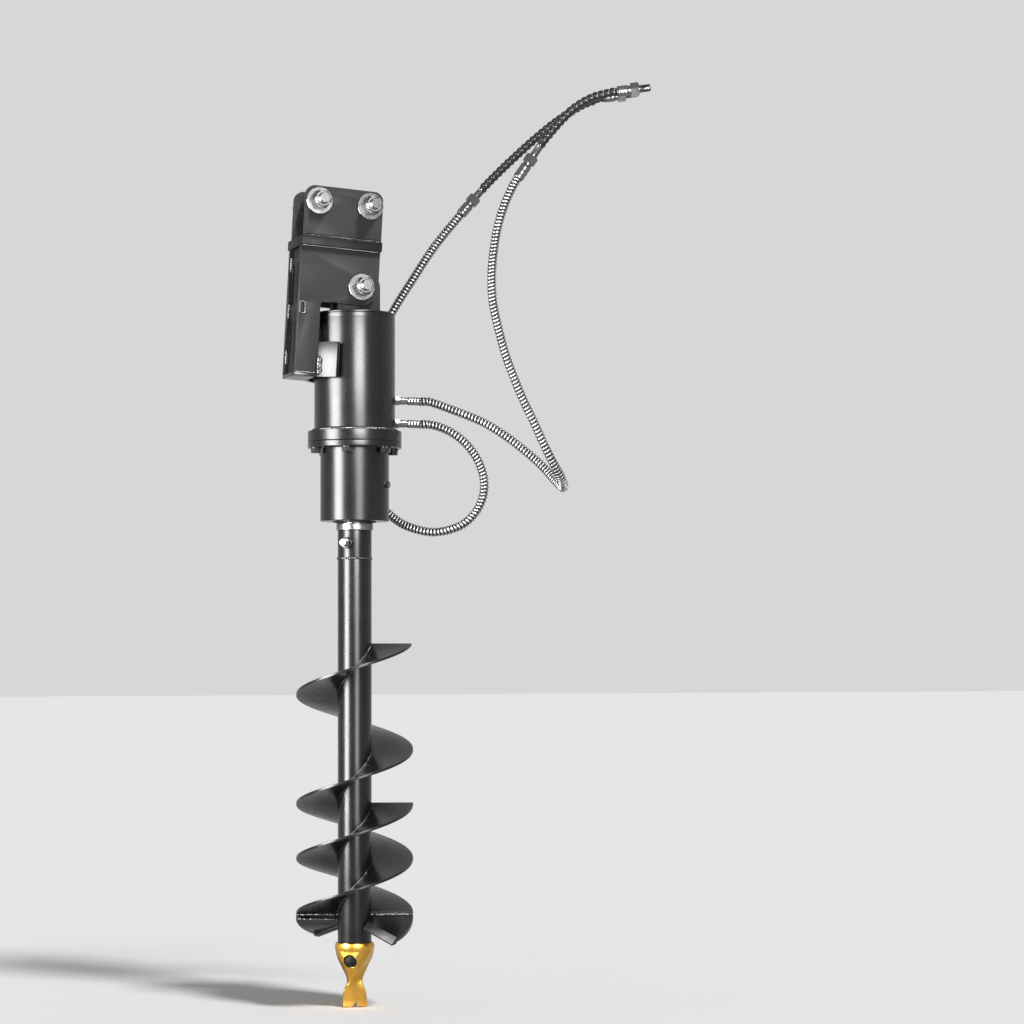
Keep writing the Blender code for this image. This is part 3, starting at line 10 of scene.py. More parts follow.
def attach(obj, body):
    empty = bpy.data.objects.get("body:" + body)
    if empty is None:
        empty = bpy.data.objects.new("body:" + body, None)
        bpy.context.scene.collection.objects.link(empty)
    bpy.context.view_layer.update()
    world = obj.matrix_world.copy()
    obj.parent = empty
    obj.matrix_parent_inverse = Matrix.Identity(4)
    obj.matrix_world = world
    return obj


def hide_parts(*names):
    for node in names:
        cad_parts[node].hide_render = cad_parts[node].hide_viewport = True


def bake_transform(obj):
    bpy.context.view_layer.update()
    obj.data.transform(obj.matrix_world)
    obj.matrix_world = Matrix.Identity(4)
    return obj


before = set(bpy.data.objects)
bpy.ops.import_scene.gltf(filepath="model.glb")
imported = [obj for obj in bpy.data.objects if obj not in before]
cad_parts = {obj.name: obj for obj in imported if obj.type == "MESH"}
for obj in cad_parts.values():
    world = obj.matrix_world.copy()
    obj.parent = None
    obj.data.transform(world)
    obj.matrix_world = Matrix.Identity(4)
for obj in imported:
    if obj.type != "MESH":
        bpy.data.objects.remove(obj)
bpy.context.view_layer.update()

# Photographer's camera. It stands level, six metres off and a little to the left,
# with a long lens whose shift keeps the whole drill in the picture.
CAMERA_PLACE = (-1.640, -5.698, -0.953)
CAMERA_TURN = math.radians(-19.68)
CAMERA_LENS = 96.68
CAMERA_SHIFT = 0.135


def in_scene(name, data):
    """A new object, put in the scene."""
    made = bpy.data.objects.new(name, data)
    bpy.context.scene.collection.objects.link(made)
    return made


camera_data = bpy.data.cameras.new("photo_camera")
camera_data.sensor_width = 36
camera_data.lens = CAMERA_LENS
camera_data.shift_y = CAMERA_SHIFT
camera_data.clip_end = 80
camera = in_scene("photo_camera", camera_data)
camera.location = CAMERA_PLACE
camera.rotation_euler = (math.pi / 2, 0, CAMERA_TURN)
bpy.context.scene.camera = camera

# Two pressure hoses, 20 mm over their guards. Each is a black rubber hose inside a
# spring of bright flat wire that keeps it from chafing. They run from the motor's
# ports to the crimped unions above.
HITCH_LEAN = math.radians(3.2)
PIVOT = Matrix.Rotation(HITCH_LEAN, 3, "Y") @ Vector((0.0475, 0, -0.174))
PORT_DROPS = (0.236, 0.2855)
CASING_RADIUS = 0.087
ADAPTER_REACH = 0.016
FERRULE_LENGTH = 0.043
SEAT_GAP = 0.0003
HOSE_START = PIVOT.x + CASING_RADIUS + ADAPTER_REACH + FERRULE_LENGTH + SEAT_GAP
HOSE_DIAMETER = 0.020
HOSE_STRAIGHT = 0.012
GUARD_PITCH = 0.0076
GUARD_WIRE = (0.0044, 0.0019)
RUBBER_RADIUS = 0.0078
RUBBER_STEP = 0.006
COIL_STEPS = 12
ROUTE_STEP = 0.008
ROUTE_SPLITS = 16
HOSE_A_ROUTE = (
    (0.205, 0.000, -0.412), (0.233, -0.006, -0.421), (0.271, -0.020, -0.436),
    (0.318, -0.034, -0.456), (0.359, -0.049, -0.482), (0.399, -0.064, -0.514),
    (0.434, -0.087, -0.550), (0.455, -0.124, -0.588), (0.453, -0.174, -0.604),
    (0.430, -0.222, -0.586), (0.400, -0.245, -0.552), (0.378, -0.250, -0.514),
    (0.359, -0.247, -0.472), (0.341, -0.239, -0.431), (0.324, -0.230, -0.386),
    (0.305, -0.221, -0.330), (0.290, -0.212, -0.266), (0.281, -0.206, -0.213),
    (0.280, -0.202, -0.161), (0.285, -0.200, -0.110), (0.294, -0.200, -0.057),
    (0.309, -0.203, -0.007), (0.322, -0.206, 0.023),
)
HOSE_B_ROUTE = (
    (0.205, 0.000, -0.4615), (0.230, -0.009, -0.468), (0.258, -0.020, -0.483),
    (0.284, -0.028, -0.506), (0.304, -0.035, -0.535), (0.316, -0.040, -0.568),
    (0.319, -0.042, -0.598), (0.313, -0.041, -0.628), (0.298, -0.037, -0.656),
    (0.274, -0.030, -0.679), (0.243, -0.018, -0.692), (0.211, -0.004, -0.696),
    (0.180, 0.015, -0.689), (0.154, 0.040, -0.675), (0.131, 0.066, -0.651),
    (0.108, 0.092, -0.615), (0.091, 0.110, -0.565), (0.082, 0.116, -0.491),
    (0.086, 0.114, -0.403), (0.104, 0.104, -0.309), (0.126, 0.093, -0.254),
    (0.150, 0.081, -0.206), (0.190, 0.068, -0.139), (0.230, 0.057, -0.075),
    (0.267, 0.049, -0.026), (0.283, 0.046, -0.007),
)
UNION_SPANS = {
    "a": ((0.336, -0.209, 0.048), (0.383, -0.222, 0.119)),
    "b": ((0.294, 0.044, 0.007), (0.340, 0.036, 0.062)),
}
HOSE_A_BEND = ((0.338, -0.200, 0.042), (0.413, 0.098, -0.143))
HOSE_B_BEND = ((0.292, 0.037, 0.001), (0.210, -0.209, -0.204))


def curved(points, splits):
    """Points on one smooth curve through the given ones."""
    knots = [Vector(point) for point in points]
    knots = [2 * knots[0] - knots[1], *knots, 2 * knots[-1] - knots[-2]]
    fine = []
    for before, start, end, after in zip(knots, knots[1:], knots[2:], knots[3:]):
        bend = 2 * before - 5 * start + 4 * end - after
        turn = 3 * start - before - 3 * end + after
        for i in range(splits):
            t = i / splits
            fine.append(start + (end - before) * (t / 2) + bend * (t * t / 2) + turn * (t ** 3 / 2))
    return [*fine, knots[-2]]


def line_route(ends, headings, route):
    """A line's centre from fitting to fitting, straight where it leaves each of them."""
    first, last = (Vector(point) for point in ends)
    leave, arrive = (Vector(heading).normalized() for heading in headings)
    first += leave * SEAT_GAP
    last -= arrive * SEAT_GAP
    fine = curved((first + leave * HOSE_STRAIGHT, *route, last - arrive * HOSE_STRAIGHT), ROUTE_SPLITS)
    lengths = [0]
    for start, end in zip(fine, fine[1:]):
        lengths.append(lengths[-1] + (end - start).length)
    count = round(lengths[-1] / ROUTE_STEP)
    even, j = [], 0
    for i in range(count + 1):
        wanted = lengths[-1] * i / count
        while j < len(lengths) - 2 and lengths[j + 1] < wanted:
            j += 1
        even.append(fine[j].lerp(fine[j + 1], (wanted - lengths[j]) / (lengths[j + 1] - lengths[j])))
    return [first, *even, last]


def grow(tree, kind, values=None, out=0, **settings):
    """Add one node and give its output: values fill its inputs, and sockets among them link."""
    node = tree.nodes.new(kind)
    for name, value in settings.items():
        setattr(node, name, value)
    for key, value in (values or {}).items():
        if isinstance(value, bpy.types.NodeSocket):
            tree.links.new(value, node.inputs[key])
        else:
            node.inputs[key].default_value = value
    return node.outputs if out is None else node.outputs[out]


def new_tree(kind, name, inputs, outputs):
    """A node group with its named sockets, each given by its kind or by the number it holds."""
    tree = bpy.data.node_groups.new(name, kind)
    for way, sockets in (("INPUT", inputs), ("OUTPUT", outputs)):
        for label, held in sockets.items():
            number = isinstance(held, float)
            socket = tree.interface.new_socket(
                label, in_out=way, socket_type=f"NodeSocket{'Float' if number else held}")
            if number:
                socket.default_value = held
    return tree, tree.nodes.new("NodeGroupInput").outputs, tree.nodes.new("NodeGroupOutput").inputs


def maths(tree, operation, first, second=0.0):
    """One sum in a tree."""
    return grow(tree, "ShaderNodeMath", {0: first, 1: second}, operation=operation)


def vectors(tree, operation, values, out=0):
    """One sum on vectors in a tree."""
    return grow(tree, "ShaderNodeVectorMath", values, out, operation=operation)


def stretched(tree, value, given, wanted=(0.0, 1.0)):
    """A value carried from one range to another."""
    return grow(tree, "ShaderNodeMapRange", {
        "Value": value, "From Min": given[0], "From Max": given[1],
        "To Min": wanted[0], "To Max": wanted[1]})


def object_place(tree):
    """The Object coordinates that every finish reads."""
    return grow(tree, "ShaderNodeTexCoord", out="Object")


CLOUD_SPREAD = (0.32, 0.68)


def mottle_group():
    """Cloudy variation between two values, with a fine height for orange peel or grain."""
    tree, given, result = new_tree(
        "ShaderNodeTree", "mottle", {"Cloud Scale": 14.0, "Grain Scale": 700.0, "Low": 0.2, "High": 0.4},
        {"Value": "Float", "Cloud": "Float", "Grain": "Float"})
    place = object_place(tree)
    cloud = grow(tree, "ShaderNodeTexNoise", {
        "Vector": place, "Scale": given["Cloud Scale"], "Detail": 5.0, "Roughness": 0.6})
    grain = grow(tree, "ShaderNodeTexNoise", {
        "Vector": place, "Scale": given["Grain Scale"], "Detail": 2.0})
    spread = stretched(tree, cloud, CLOUD_SPREAD, (given["Low"], given["High"]))
    for name, socket in (("Value", spread), ("Cloud", cloud), ("Grain", grain)):
        tree.links.new(socket, result[name])
    return tree


MOTTLE = mottle_group()


def mixed(tree, share, first, second):
    """Blend two colours, given as numbers or sockets, by a share."""
    return grow(tree, "ShaderNodeMix", {0: share, 6: first, 7: (*second, 1)}, 2, data_type="RGBA")


def bumped(tree, height, strength, depth):
    """Feed a height to the shader's normal."""
    bump = grow(tree, "ShaderNodeBump", {"Height": height, "Strength": strength, "Distance": depth})
    tree.links.new(bump, tree.nodes["Principled BSDF"].inputs["Normal"])


def clouded(name, dark, light, rough, scales, metallic=0.0, specular=0.5, grain=None, wear_and_highlight_edges=None):
    """A finish whose tone and roughness drift in clouds, with its grain, and with a paler tone at its edges
    that is partly scuffing and partly a painted highlight.
    """
    made = bpy.data.materials.new(name)
    made.use_nodes = True
    tree = made.node_tree
    sockets = tree.nodes["Principled BSDF"].inputs
    sockets["Base Color"].default_value = (*light, 1)
    sockets["Metallic"].default_value = metallic
    sockets["Specular IOR Level"].default_value = specular
    spots = grow(tree, "ShaderNodeGroup", {
        "Cloud Scale": scales[0], "Grain Scale": scales[1], "Low": rough[0], "High": rough[1],
    }, None, node_tree=MOTTLE)
    tree.links.new(spots["Value"], sockets["Roughness"])
    if dark != light:
        tone = mixed(tree, spots["Cloud"], (*dark, 1), light)
        # Corners take a paler tone, partly scuffed paint or coating and partly a painted edge highlight.
        if wear_and_highlight_edges:
            reach, breaks, amount, wear_and_highlight_tone = wear_and_highlight_edges
            wear_and_highlight_mask = grow(tree, "ShaderNodeGroup", {
                "Reach": reach, "Break Scale": breaks, "Amount": amount}, node_tree=EDGE_WEAR_AND_HIGHLIGHT)
            tone = mixed(tree, wear_and_highlight_mask, tone, wear_and_highlight_tone)
            if not metallic:
                tree.links.new(wear_and_highlight_mask, sockets["Metallic"])
        tree.links.new(tone, sockets["Base Color"])
    if grain:
        bumped(tree, spots["Grain"], *grain)
    return made


WIRE_TONES = ((0.17, 0.17, 0.17), (0.36, 0.36, 0.355))
RUBBER_TONE = (0.012, 0.012, 0.012)
BRIGHT_WIRE = clouded("bright_wire", *WIRE_TONES, (0.24, 0.42), (60.0, 900.0), 1.0)
HOSE_RUBBER = clouded("hose_rubber", RUBBER_TONE, RUBBER_TONE, (0.5, 0.7), (40.0, 1500.0), 0.0, 0.3,
                      (0.2, 0.0002))


def winding_tree():
    """Nodes that wind a flat wire round a path, with a round core inside it."""
    tree, given, result = new_tree("GeometryNodeTree", "winding", {
        "Path": "Geometry", "Pitch": "Float", "Coil Radius": "Float", "Wire Width": "Float",
        "Wire Thickness": "Float", "Core Radius": "Float", "Wire Finish": "Material",
        "Core Finish": "Material",
    }, {"Winding": "Geometry"})

    def resampled(length):
        return grow(tree, "GeometryNodeResampleCurve", {
            "Curve": given["Path"], "Length": length}, mode="LENGTH")

    def covered(path, section, finish):
        mesh = grow(tree, "GeometryNodeCurveToMesh", {
            "Curve": path, "Profile Curve": section, "Fill Caps": True})
        return grow(tree, "GeometryNodeSetMaterial", {"Geometry": mesh, "Material": finish})

    fine = resampled(maths(tree, "DIVIDE", given["Pitch"], float(COIL_STEPS)))
    index = grow(tree, "GeometryNodeInputIndex")
    angle = maths(tree, "MULTIPLY", index, math.tau / COIL_STEPS)
    normal = grow(tree, "GeometryNodeInputNormal")
    across = vectors(tree, "CROSS_PRODUCT", {0: grow(tree, "GeometryNodeInputTangent"), 1: normal})
    first = vectors(tree, "SCALE", {0: normal, "Scale": maths(tree, "COSINE", angle)})
    second = vectors(tree, "SCALE", {0: across, "Scale": maths(tree, "SINE", angle)})
    keep = tree.nodes.new("GeometryNodeCaptureAttribute")
    keep.capture_items.new("VECTOR", "Outward")
    tree.links.new(fine, keep.inputs["Geometry"])
    tree.links.new(vectors(tree, "ADD", {0: first, 1: second}), keep.inputs["Outward"])
    held = keep.outputs["Outward"]
    moved = grow(tree, "GeometryNodeSetPosition", {
        "Geometry": keep.outputs["Geometry"],
        "Offset": vectors(tree, "SCALE", {0: held, "Scale": given["Coil Radius"]})})
    turned_out = grow(tree, "GeometryNodeSetCurveNormal", {"Curve": moved, "Normal": held}, mode="FREE")
    ring = grow(tree, "GeometryNodeCurvePrimitiveCircle", {"Resolution": 8, "Radius": 1.0})
    size = grow(tree, "ShaderNodeCombineXYZ", {
        "X": maths(tree, "DIVIDE", given["Wire Thickness"], 2.0),
        "Y": maths(tree, "DIVIDE", given["Wire Width"], 2.0), "Z": 1.0})
    flat = grow(tree, "GeometryNodeTransform", {"Geometry": ring, "Scale": size})
    wire = covered(turned_out, flat, given["Wire Finish"])
    round_section = grow(tree, "GeometryNodeCurvePrimitiveCircle", {
        "Resolution": 16, "Radius": given["Core Radius"]})
    core = covered(resampled(RUBBER_STEP), round_section, given["Core Finish"])
    both = tree.nodes.new("GeometryNodeJoinGeometry")
    for piece in (core, wire):
        tree.links.new(piece, both.inputs[0])
    real = grow(tree, "GeometryNodeRealizeInstances", {"Geometry": both.outputs[0]})
    tree.links.new(grow(tree, "GeometryNodeSetShadeSmooth", {"Geometry": real}), result[0])
    return tree


WINDING = winding_tree()


def path_curve(name, paths, loop=False):
    """Paths through points, for a tree to work on."""
    curve = bpy.data.curves.new(name, "CURVE")
    curve.dimensions = "3D"
    for path in paths:
        spline = curve.splines.new("POLY")
        spline.points.add(len(path) - 1)
        for point, place in zip(spline.points, path):
            point.co = (*place, 1)
        spline.use_cyclic_u = loop
    return in_scene(name, curve)


def applied(source, cutters=()):
    """What an object has become, as a plain mesh. The object and its cutters are removed."""
    view = bpy.context.evaluated_depsgraph_get()
    mesh = bpy.data.meshes.new_from_object(source.evaluated_get(view))
    for spent in (source, *cutters):
        bpy.data.objects.remove(spent)
    return mesh


def grown_mesh(name, source, tree, values):
    """Run a geometry tree on an object and keep the result as a plain mesh piece."""
    step = source.modifiers.new("grow", "NODES")
    step.node_group = tree
    sockets = {item.name: item.identifier for item in tree.interface.items_tree
               if item.in_out == "INPUT"}
    for key, value in values.items():
        step[sockets[key]] = value
    mesh = applied(source)
    mesh.name = name
    return in_scene(name, mesh)


def between(span):
    """Direction from the first point of a span to its second."""
    return Vector(span[1]) - Vector(span[0])


def wound_line(name, node, ends, headings, route, pitch, strip, finish, bend=None):
    """One line inside its winding, from fitting to fitting, left loose when a bend is given and carried by
    the frame otherwise.
    """
    points = line_route(ends, headings, route)
    width, thickness = strip
    line = grown_mesh(name, path_curve("route", [points]), WINDING, {
        "Pitch": pitch, "Coil Radius": (HOSE_DIAMETER - thickness) / 2, "Wire Width": width,
        "Wire Thickness": thickness, "Core Radius": RUBBER_RADIUS, "Wire Finish": finish,
        "Core Finish": HOSE_RUBBER,
    })
    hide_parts(node)
    if bend:
        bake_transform(line)
    else:
        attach(line, "hitch_frame")


for mark, drop, route, bend in (("a", PORT_DROPS[0], HOSE_A_ROUTE, HOSE_A_BEND),
                                ("b", PORT_DROPS[1], HOSE_B_ROUTE, HOSE_B_BEND)):
    union = UNION_SPANS[mark]
    port = Vector((HOSE_START, 0, PIVOT.z - drop))
    wound_line(f"guarded_hose_{mark}", f"hose_{mark}", (port, union[0]), ((1, 0, 0), between(union)),
               route, GUARD_PITCH, GUARD_WIRE, BRIGHT_WIRE, bend)

# Two leads from the unions up to the hydraulic supply. They are black hoses inside a
# glossy plastic spiral wrap, and each ends in a screwed fitting.
LEAD_ROUTES = {
    "a": ((0.394, -0.225, 0.134), (0.409, -0.229, 0.153), (0.429, -0.234, 0.176),
          (0.454, -0.241, 0.200), (0.488, -0.251, 0.221), (0.520, -0.260, 0.231)),
    "b": ((0.352, 0.033, 0.076), (0.376, 0.027, 0.101), (0.406, 0.019, 0.131),
          (0.453, 0.004, 0.176), (0.501, -0.013, 0.217), (0.548, -0.030, 0.249),
          (0.578, -0.040, 0.262)),
}
END_SPANS = {
    "a": ((0.540, -0.266, 0.235), (0.608, -0.289, 0.244)),
    "b": ((0.596, -0.047, 0.268), (0.667, -0.072, 0.277)),
}
WRAP_PITCH = 0.0125
WRAP_STRIP = (0.0085, 0.0030)
WRAP_TONE = (0.010, 0.010, 0.011)
GLOSSY_WRAP = clouded("glossy_wrap", WRAP_TONE, WRAP_TONE, (0.16, 0.32), (30.0, 1200.0))
for mark, route in LEAD_ROUTES.items():
    union, end = UNION_SPANS[mark], END_SPANS[mark]
    wound_line(f"wrapped_lead_{mark}", f"lead_{mark}", (union[1], end[0]), (between(union), between(end)),
               route, WRAP_PITCH, WRAP_STRIP, GLOSSY_WRAP)

# Drive's pivot frame: the hitch leans back on the pivot bolt, while the drive hangs
# plumb. The plates are flame-cut steel, ground at their edges and painted satin black;
# their grey tone is a painted sheen.
LEAN = Matrix.Translation(PIVOT) @ Matrix.Rotation(HITCH_LEAN, 4, "Y")
FACING_FRONT = Matrix.Rotation(math.pi / 2, 4, "X")
FACING_RIGHT = Matrix.Rotation(math.pi / 2, 4, "Z") @ FACING_FRONT
SIDES = (("front", -1), ("rear", 1))
PLATE = 0.010
PLATE_EDGE = 0.0011
FRAME_HALF_WIDTH = 0.050
FRAME_TOP = 0.078
FRAME_NOSE = 0.038
FRAME_BACK = 0.137
LEG_FRONT = 0.088
LEG_FOOT = -0.1917
NOTCH_FILLET = 0.009
PIN_RADIUS = 0.015
TAB_DEPTHS = (-0.1327, -0.1213)
TAB_SPAN = (-0.0667, -0.0423)
HOLE_STEPS = 56
BEVEL_ANGLE = math.radians(40)
SMOOTH_ANGLE = 32
CORNER_TURN = (0.995, 0.86)
BREAK_SPREAD = (0.40, 0.60)
PAINT_SCALES = (22.0, 320.0)
# Reach, break scale and tone of the paler edges: partly steel where paint is scuffed, partly a painted
# highlight.
PAINT_EDGE_WEAR_AND_HIGHLIGHT = (0.0013, 70.0)
PEEL_DEPTH = 0.0006
EDGE_STEEL_AND_HIGHLIGHT = (0.15, 0.15, 0.15)


def edge_wear_and_highlight_group():
    """Mask of the corners, broken up by noise, that take a paler tone: partly paint that handling rubs thin,
    partly a painted edge highlight.
    """
    tree, given, result = new_tree(
        "ShaderNodeTree", "edge_wear_and_highlight_mask", {"Reach": 0.0012, "Break Scale": 90.0, "Amount": 1.0},
        {"Mask": "Float"})
    soft = grow(tree, "ShaderNodeBevel", {"Radius": given["Reach"]}, samples=4)
    plain = grow(tree, "ShaderNodeNewGeometry", out="Normal")
    corner = stretched(tree, vectors(tree, "DOT_PRODUCT", {0: soft, 1: plain}, "Value"), CORNER_TURN)
    noise = grow(tree, "ShaderNodeTexNoise", {
        "Vector": object_place(tree), "Scale": given["Break Scale"], "Detail": 4.0, "Roughness": 0.7})
    share = maths(tree, "MULTIPLY", corner, stretched(tree, noise, BREAK_SPREAD))
    tree.links.new(maths(tree, "MULTIPLY", share, given["Amount"]), result["Mask"])
    return tree


EDGE_WEAR_AND_HIGHLIGHT = edge_wear_and_highlight_group()


def paint(name, dark, light, rough, peel, edge_wear_and_highlight_amount, specular):
    """Black paint: a cloudy tone, orange peel, and a paler steel tone at its edges, partly scuffed paint and
    partly a painted highlight.
    """
    return clouded(name, dark, light, rough, PAINT_SCALES, 0.0, specular, (peel, PEEL_DEPTH),
                   (*PAINT_EDGE_WEAR_AND_HIGHLIGHT, edge_wear_and_highlight_amount, EDGE_STEEL_AND_HIGHLIGHT))


# Satin paint: a grey tone that is a painted sheen, standing in for the reflection in black paint, with
# little shine of its own.
SATIN_PAINT_PAINTED_SHEEN = paint("satin_black_paint_painted_sheen", (0.066, 0.066, 0.067), (0.082, 0.082, 0.083), (0.30, 0.38),
                    0.06, 0.9, 0.04)
# Near black paint: painted shade on the web and the thick plate, which sit in shadow, and the bit bolt's own
# dark colour.
SHADOW_PAINT = paint("shadow_black_paint", (0.008, 0.008, 0.008), (0.016, 0.016, 0.016), (0.36, 0.50),
                     0.10, 0.8, 0.1)


def lofted(rings, shut=False):
    """A closed form through rings of points, with single points or flat caps as its ends."""
    form = bmesh.new()
    loops = [[form.verts.new(point) for point in ring] for ring in rings]
    pairs = list(zip(loops, loops[1:]))
    if shut:
        pairs.append((loops[-1], loops[0]))
    for lower, upper in pairs:
        count = max(len(lower), len(upper))
        for i in range(count if count > 1 else 0):
            j = (i + 1) % count
            if len(lower) == 1:
                form.faces.new((lower[0], upper[j], upper[i]))
            elif len(upper) == 1:
                form.faces.new((lower[i], lower[j], upper[0]))
            else:
                form.faces.new((lower[i], lower[j], upper[j], upper[i]))
    if not shut:
        for loop in (loops[0], loops[-1]):
            if len(loop) > 1:
                form.faces.new(loop)
    bmesh.ops.recalc_face_normals(form, faces=form.faces)
    return form


def as_object(name, form):
    """A form as a mesh object, to be cut or bevelled."""
    mesh = bpy.data.meshes.new(name)
    form.to_mesh(mesh)
    form.free()
    return in_scene(name, mesh)


def finished(name, form, place, finish, body, slot, *nodes, edge=0.0, cutters=(), smooth=SMOOTH_ANGLE,
             segments=2):
    """Cut a form and round its edges, keep it as a plain mesh in its place, and fit it."""
    source = as_object("raw", form)
    for cutter in cutters:
        step = source.modifiers.new("cut", "BOOLEAN")
        step.operation = "DIFFERENCE"
        step.solver = "EXACT"
        step.object = cutter
    if edge:
        step = source.modifiers.new("edge", "BEVEL")
        step.width = edge
        step.segments = segments
        step.limit_method = "ANGLE"
        step.angle_limit = BEVEL_ANGLE
        step.miter_outer = "MITER_ARC"
    mesh = applied(source, cutters)
    mesh.transform(place)
    mesh.name = name
    mesh.polygons.foreach_set("use_smooth", [True] * len(mesh.polygons))
    mesh.set_sharp_from_angle(angle=math.radians(smooth))
    mesh.materials.clear()
    mesh.materials.append(finish)
    return fitted(in_scene(name, mesh), body, slot, *nodes)


def fitted(piece, body, slot, *nodes):
    """Hide the CAD nodes a finished piece replaces and hang it on what carries it; its finish slot is not
    used.
    """
    if nodes:
        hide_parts(*nodes)
    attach(piece, body)
    return piece


def arc(centre, radius, start, end, steps):
    """Points on an arc, its angles in degrees."""
    angles = [math.radians(start + (end - start) * i / steps) for i in range(steps + 1)]
    return [(centre[0] + radius * math.cos(a), centre[1] + radius * math.sin(a)) for a in angles]


def circle(radius, centre=(0, 0), steps=HOLE_STEPS):
    """The outline of a round hole or disc."""
    return arc(centre, radius, 0, 360 - 360 / steps, steps - 1)


def plate(name, outline, holes, thickness, place, finish, body, node, edge=PLATE_EDGE, cutters=()):
    """A plate cut to an outline with its holes, given a thickness about its plane, and fitted."""
    loops = [[(*point, 0) for point in loop] for loop in (outline, *holes)]
    drawn = path_curve(name, loops, loop=True)
    drawn.data.dimensions = "2D"
    drawn.data.fill_mode = "BOTH"
    drawn.data.extrude = thickness / 2
    form = bmesh.new()
    form.from_mesh(applied(drawn))
    bmesh.ops.remove_doubles(form, verts=form.verts, dist=0.00001)
    bmesh.ops.dissolve_limit(form, angle_limit=math.radians(1), verts=form.verts, edges=form.edges)
    bmesh.ops.recalc_face_normals(form, faces=form.faces)
    finished(name, form, place, finish, body, "black_paint", node, edge=edge, cutters=cutters)


def facing(stand, across):
    """Place of a plate that faces the front, some way across from the middle."""
    return stand @ Matrix.Translation((0, across, 0)) @ FACING_FRONT


notch = (-LEG_FRONT + NOTCH_FILLET, -FRAME_NOSE - NOTCH_FILLET)
outline = [(-FRAME_BACK, FRAME_TOP), (-FRAME_BACK, LEG_FOOT), (-LEG_FRONT, LEG_FOOT)]
outline += arc(notch, NOTCH_FILLET, 180, 90, 10) + arc((0, 0), FRAME_NOSE, -90, 0, 24)
outline += [(FRAME_NOSE, FRAME_TOP)]
(back, front), (low, high) = TAB_DEPTHS, TAB_SPAN
holes = (circle(PIN_RADIUS + SEAT_GAP), [(back, high), (front, high), (front, low), (back, low)])
for name, side in SIDES:
    place = facing(LEAN, side * (FRAME_HALF_WIDTH - PLATE / 2))
    plate(f"cut_side_plate_{name}", outline, holes, PLATE, place, SATIN_PAINT_PAINTED_SHEEN, "hitch_frame",
          f"side_plate_{name}")

# Slotted web between the side plates. Its tabs come through both of them, and round
# ended slots lighten it. It is the same plate, painted near black as a painted shade
# between the side plates, and stitched with short welds.
WEB_MIDDLE = -0.127
WEB_EDGE = 0.0397
WEB_SLOTS = ((-0.043, 0.047), (-0.171, -0.081))
WEB_SLOT_WIDTH = 0.016
WEB_SLOT_MIDDLE = 0.0237


def oblong(middle, low, high, width):
    """An upright slot with round ends."""
    radius = width / 2
    top = arc((middle, high - radius), radius, 0, 180, 14)
    return top + arc((middle, low + radius), radius, 180, 360, 14)


low, high = TAB_SPAN
right_side = [(WEB_EDGE, LEG_FOOT), (WEB_EDGE, low), (FRAME_HALF_WIDTH, low),
              (FRAME_HALF_WIDTH, high), (WEB_EDGE, high), (WEB_EDGE, FRAME_TOP)]
outline = right_side + [(-across, up) for across, up in reversed(right_side)]
holes = [oblong(side * WEB_SLOT_MIDDLE, low, high, WEB_SLOT_WIDTH)
         for side in (-1, 1) for low, high in WEB_SLOTS]
place = LEAN @ Matrix.Translation((WEB_MIDDLE, 0, 0)) @ FACING_RIGHT
# The web takes the near black paint, a painted shade between the side plates.
plate("slotted_web", outline, holes, PLATE - 2 * SEAT_GAP, place, SHADOW_PAINT, "hitch_frame",
      "back_web", 0.0006)

# Heavy flat bars of the frame: the foot that closes the leg, the thick plate under the
# ears, and the two bars in a V where the casing comes to rest. All sawn and painted.
LEG_DROP = 0.200
FOOT_THICKNESS = 0.008
CROSS_SPAN = ((-0.138, 0.039), (-0.060, 0.060), (0.0783, 0.0983))
CRADLE_ANGLE = math.radians(43)
CRADLE_FACE = 0.0878
CRADLE_HEIGHT = 0.075
CRADLE_INNER_REACH = 0.024
GLOSS_PAINT = paint("gloss_black_paint", (0.004, 0.004, 0.0043), (0.007, 0.007, 0.0075), (0.24, 0.29),
                    0.04, 0.5, 0.36)


def bar(name, spans, place, node, finish, edge=PLATE_EDGE):
    """A sawn bar between its limits on each axis."""
    (left, right), (front, back), heights = spans
    rings = [[(left, front, height), (right, front, height), (right, back, height), (left, back, height)]
             for height in heights]
    finished(name, lofted(rings), place, finish, "hitch_frame", "black_paint", node, edge=edge, segments=3)


foot_spans = ((-FRAME_BACK, -LEG_FRONT), (-FRAME_HALF_WIDTH, FRAME_HALF_WIDTH),
              (-LEG_DROP, -LEG_DROP + FOOT_THICKNESS))
bar("foot_bar", foot_spans, LEAN, "foot_plate", GLOSS_PAINT)
# The thick plate takes the near black paint, a painted shade under the ears.
bar("cross_bar", CROSS_SPAN, LEAN, "cross_plate", SHADOW_PAINT, 0.0014)
pad_back = (CRADLE_FACE + PLATE) * math.cos(CRADLE_ANGLE)
pad_reach = (LEG_FRONT - SEAT_GAP - pad_back) / math.sin(CRADLE_ANGLE)
for name, side in SIDES:
    widths = sorted((side * CRADLE_INNER_REACH, -side * pad_reach))
    spans = ((-CRADLE_FACE - PLATE, -CRADLE_FACE), widths, (-LEG_DROP, -LEG_DROP + CRADLE_HEIGHT))
    place = LEAN @ Matrix.Rotation(-side * CRADLE_ANGLE, 4, "Z")
    bar(f"cradle_bar_{name}", spans, place, f"cradle_pad_{name}", GLOSS_PAINT, 0.0005)

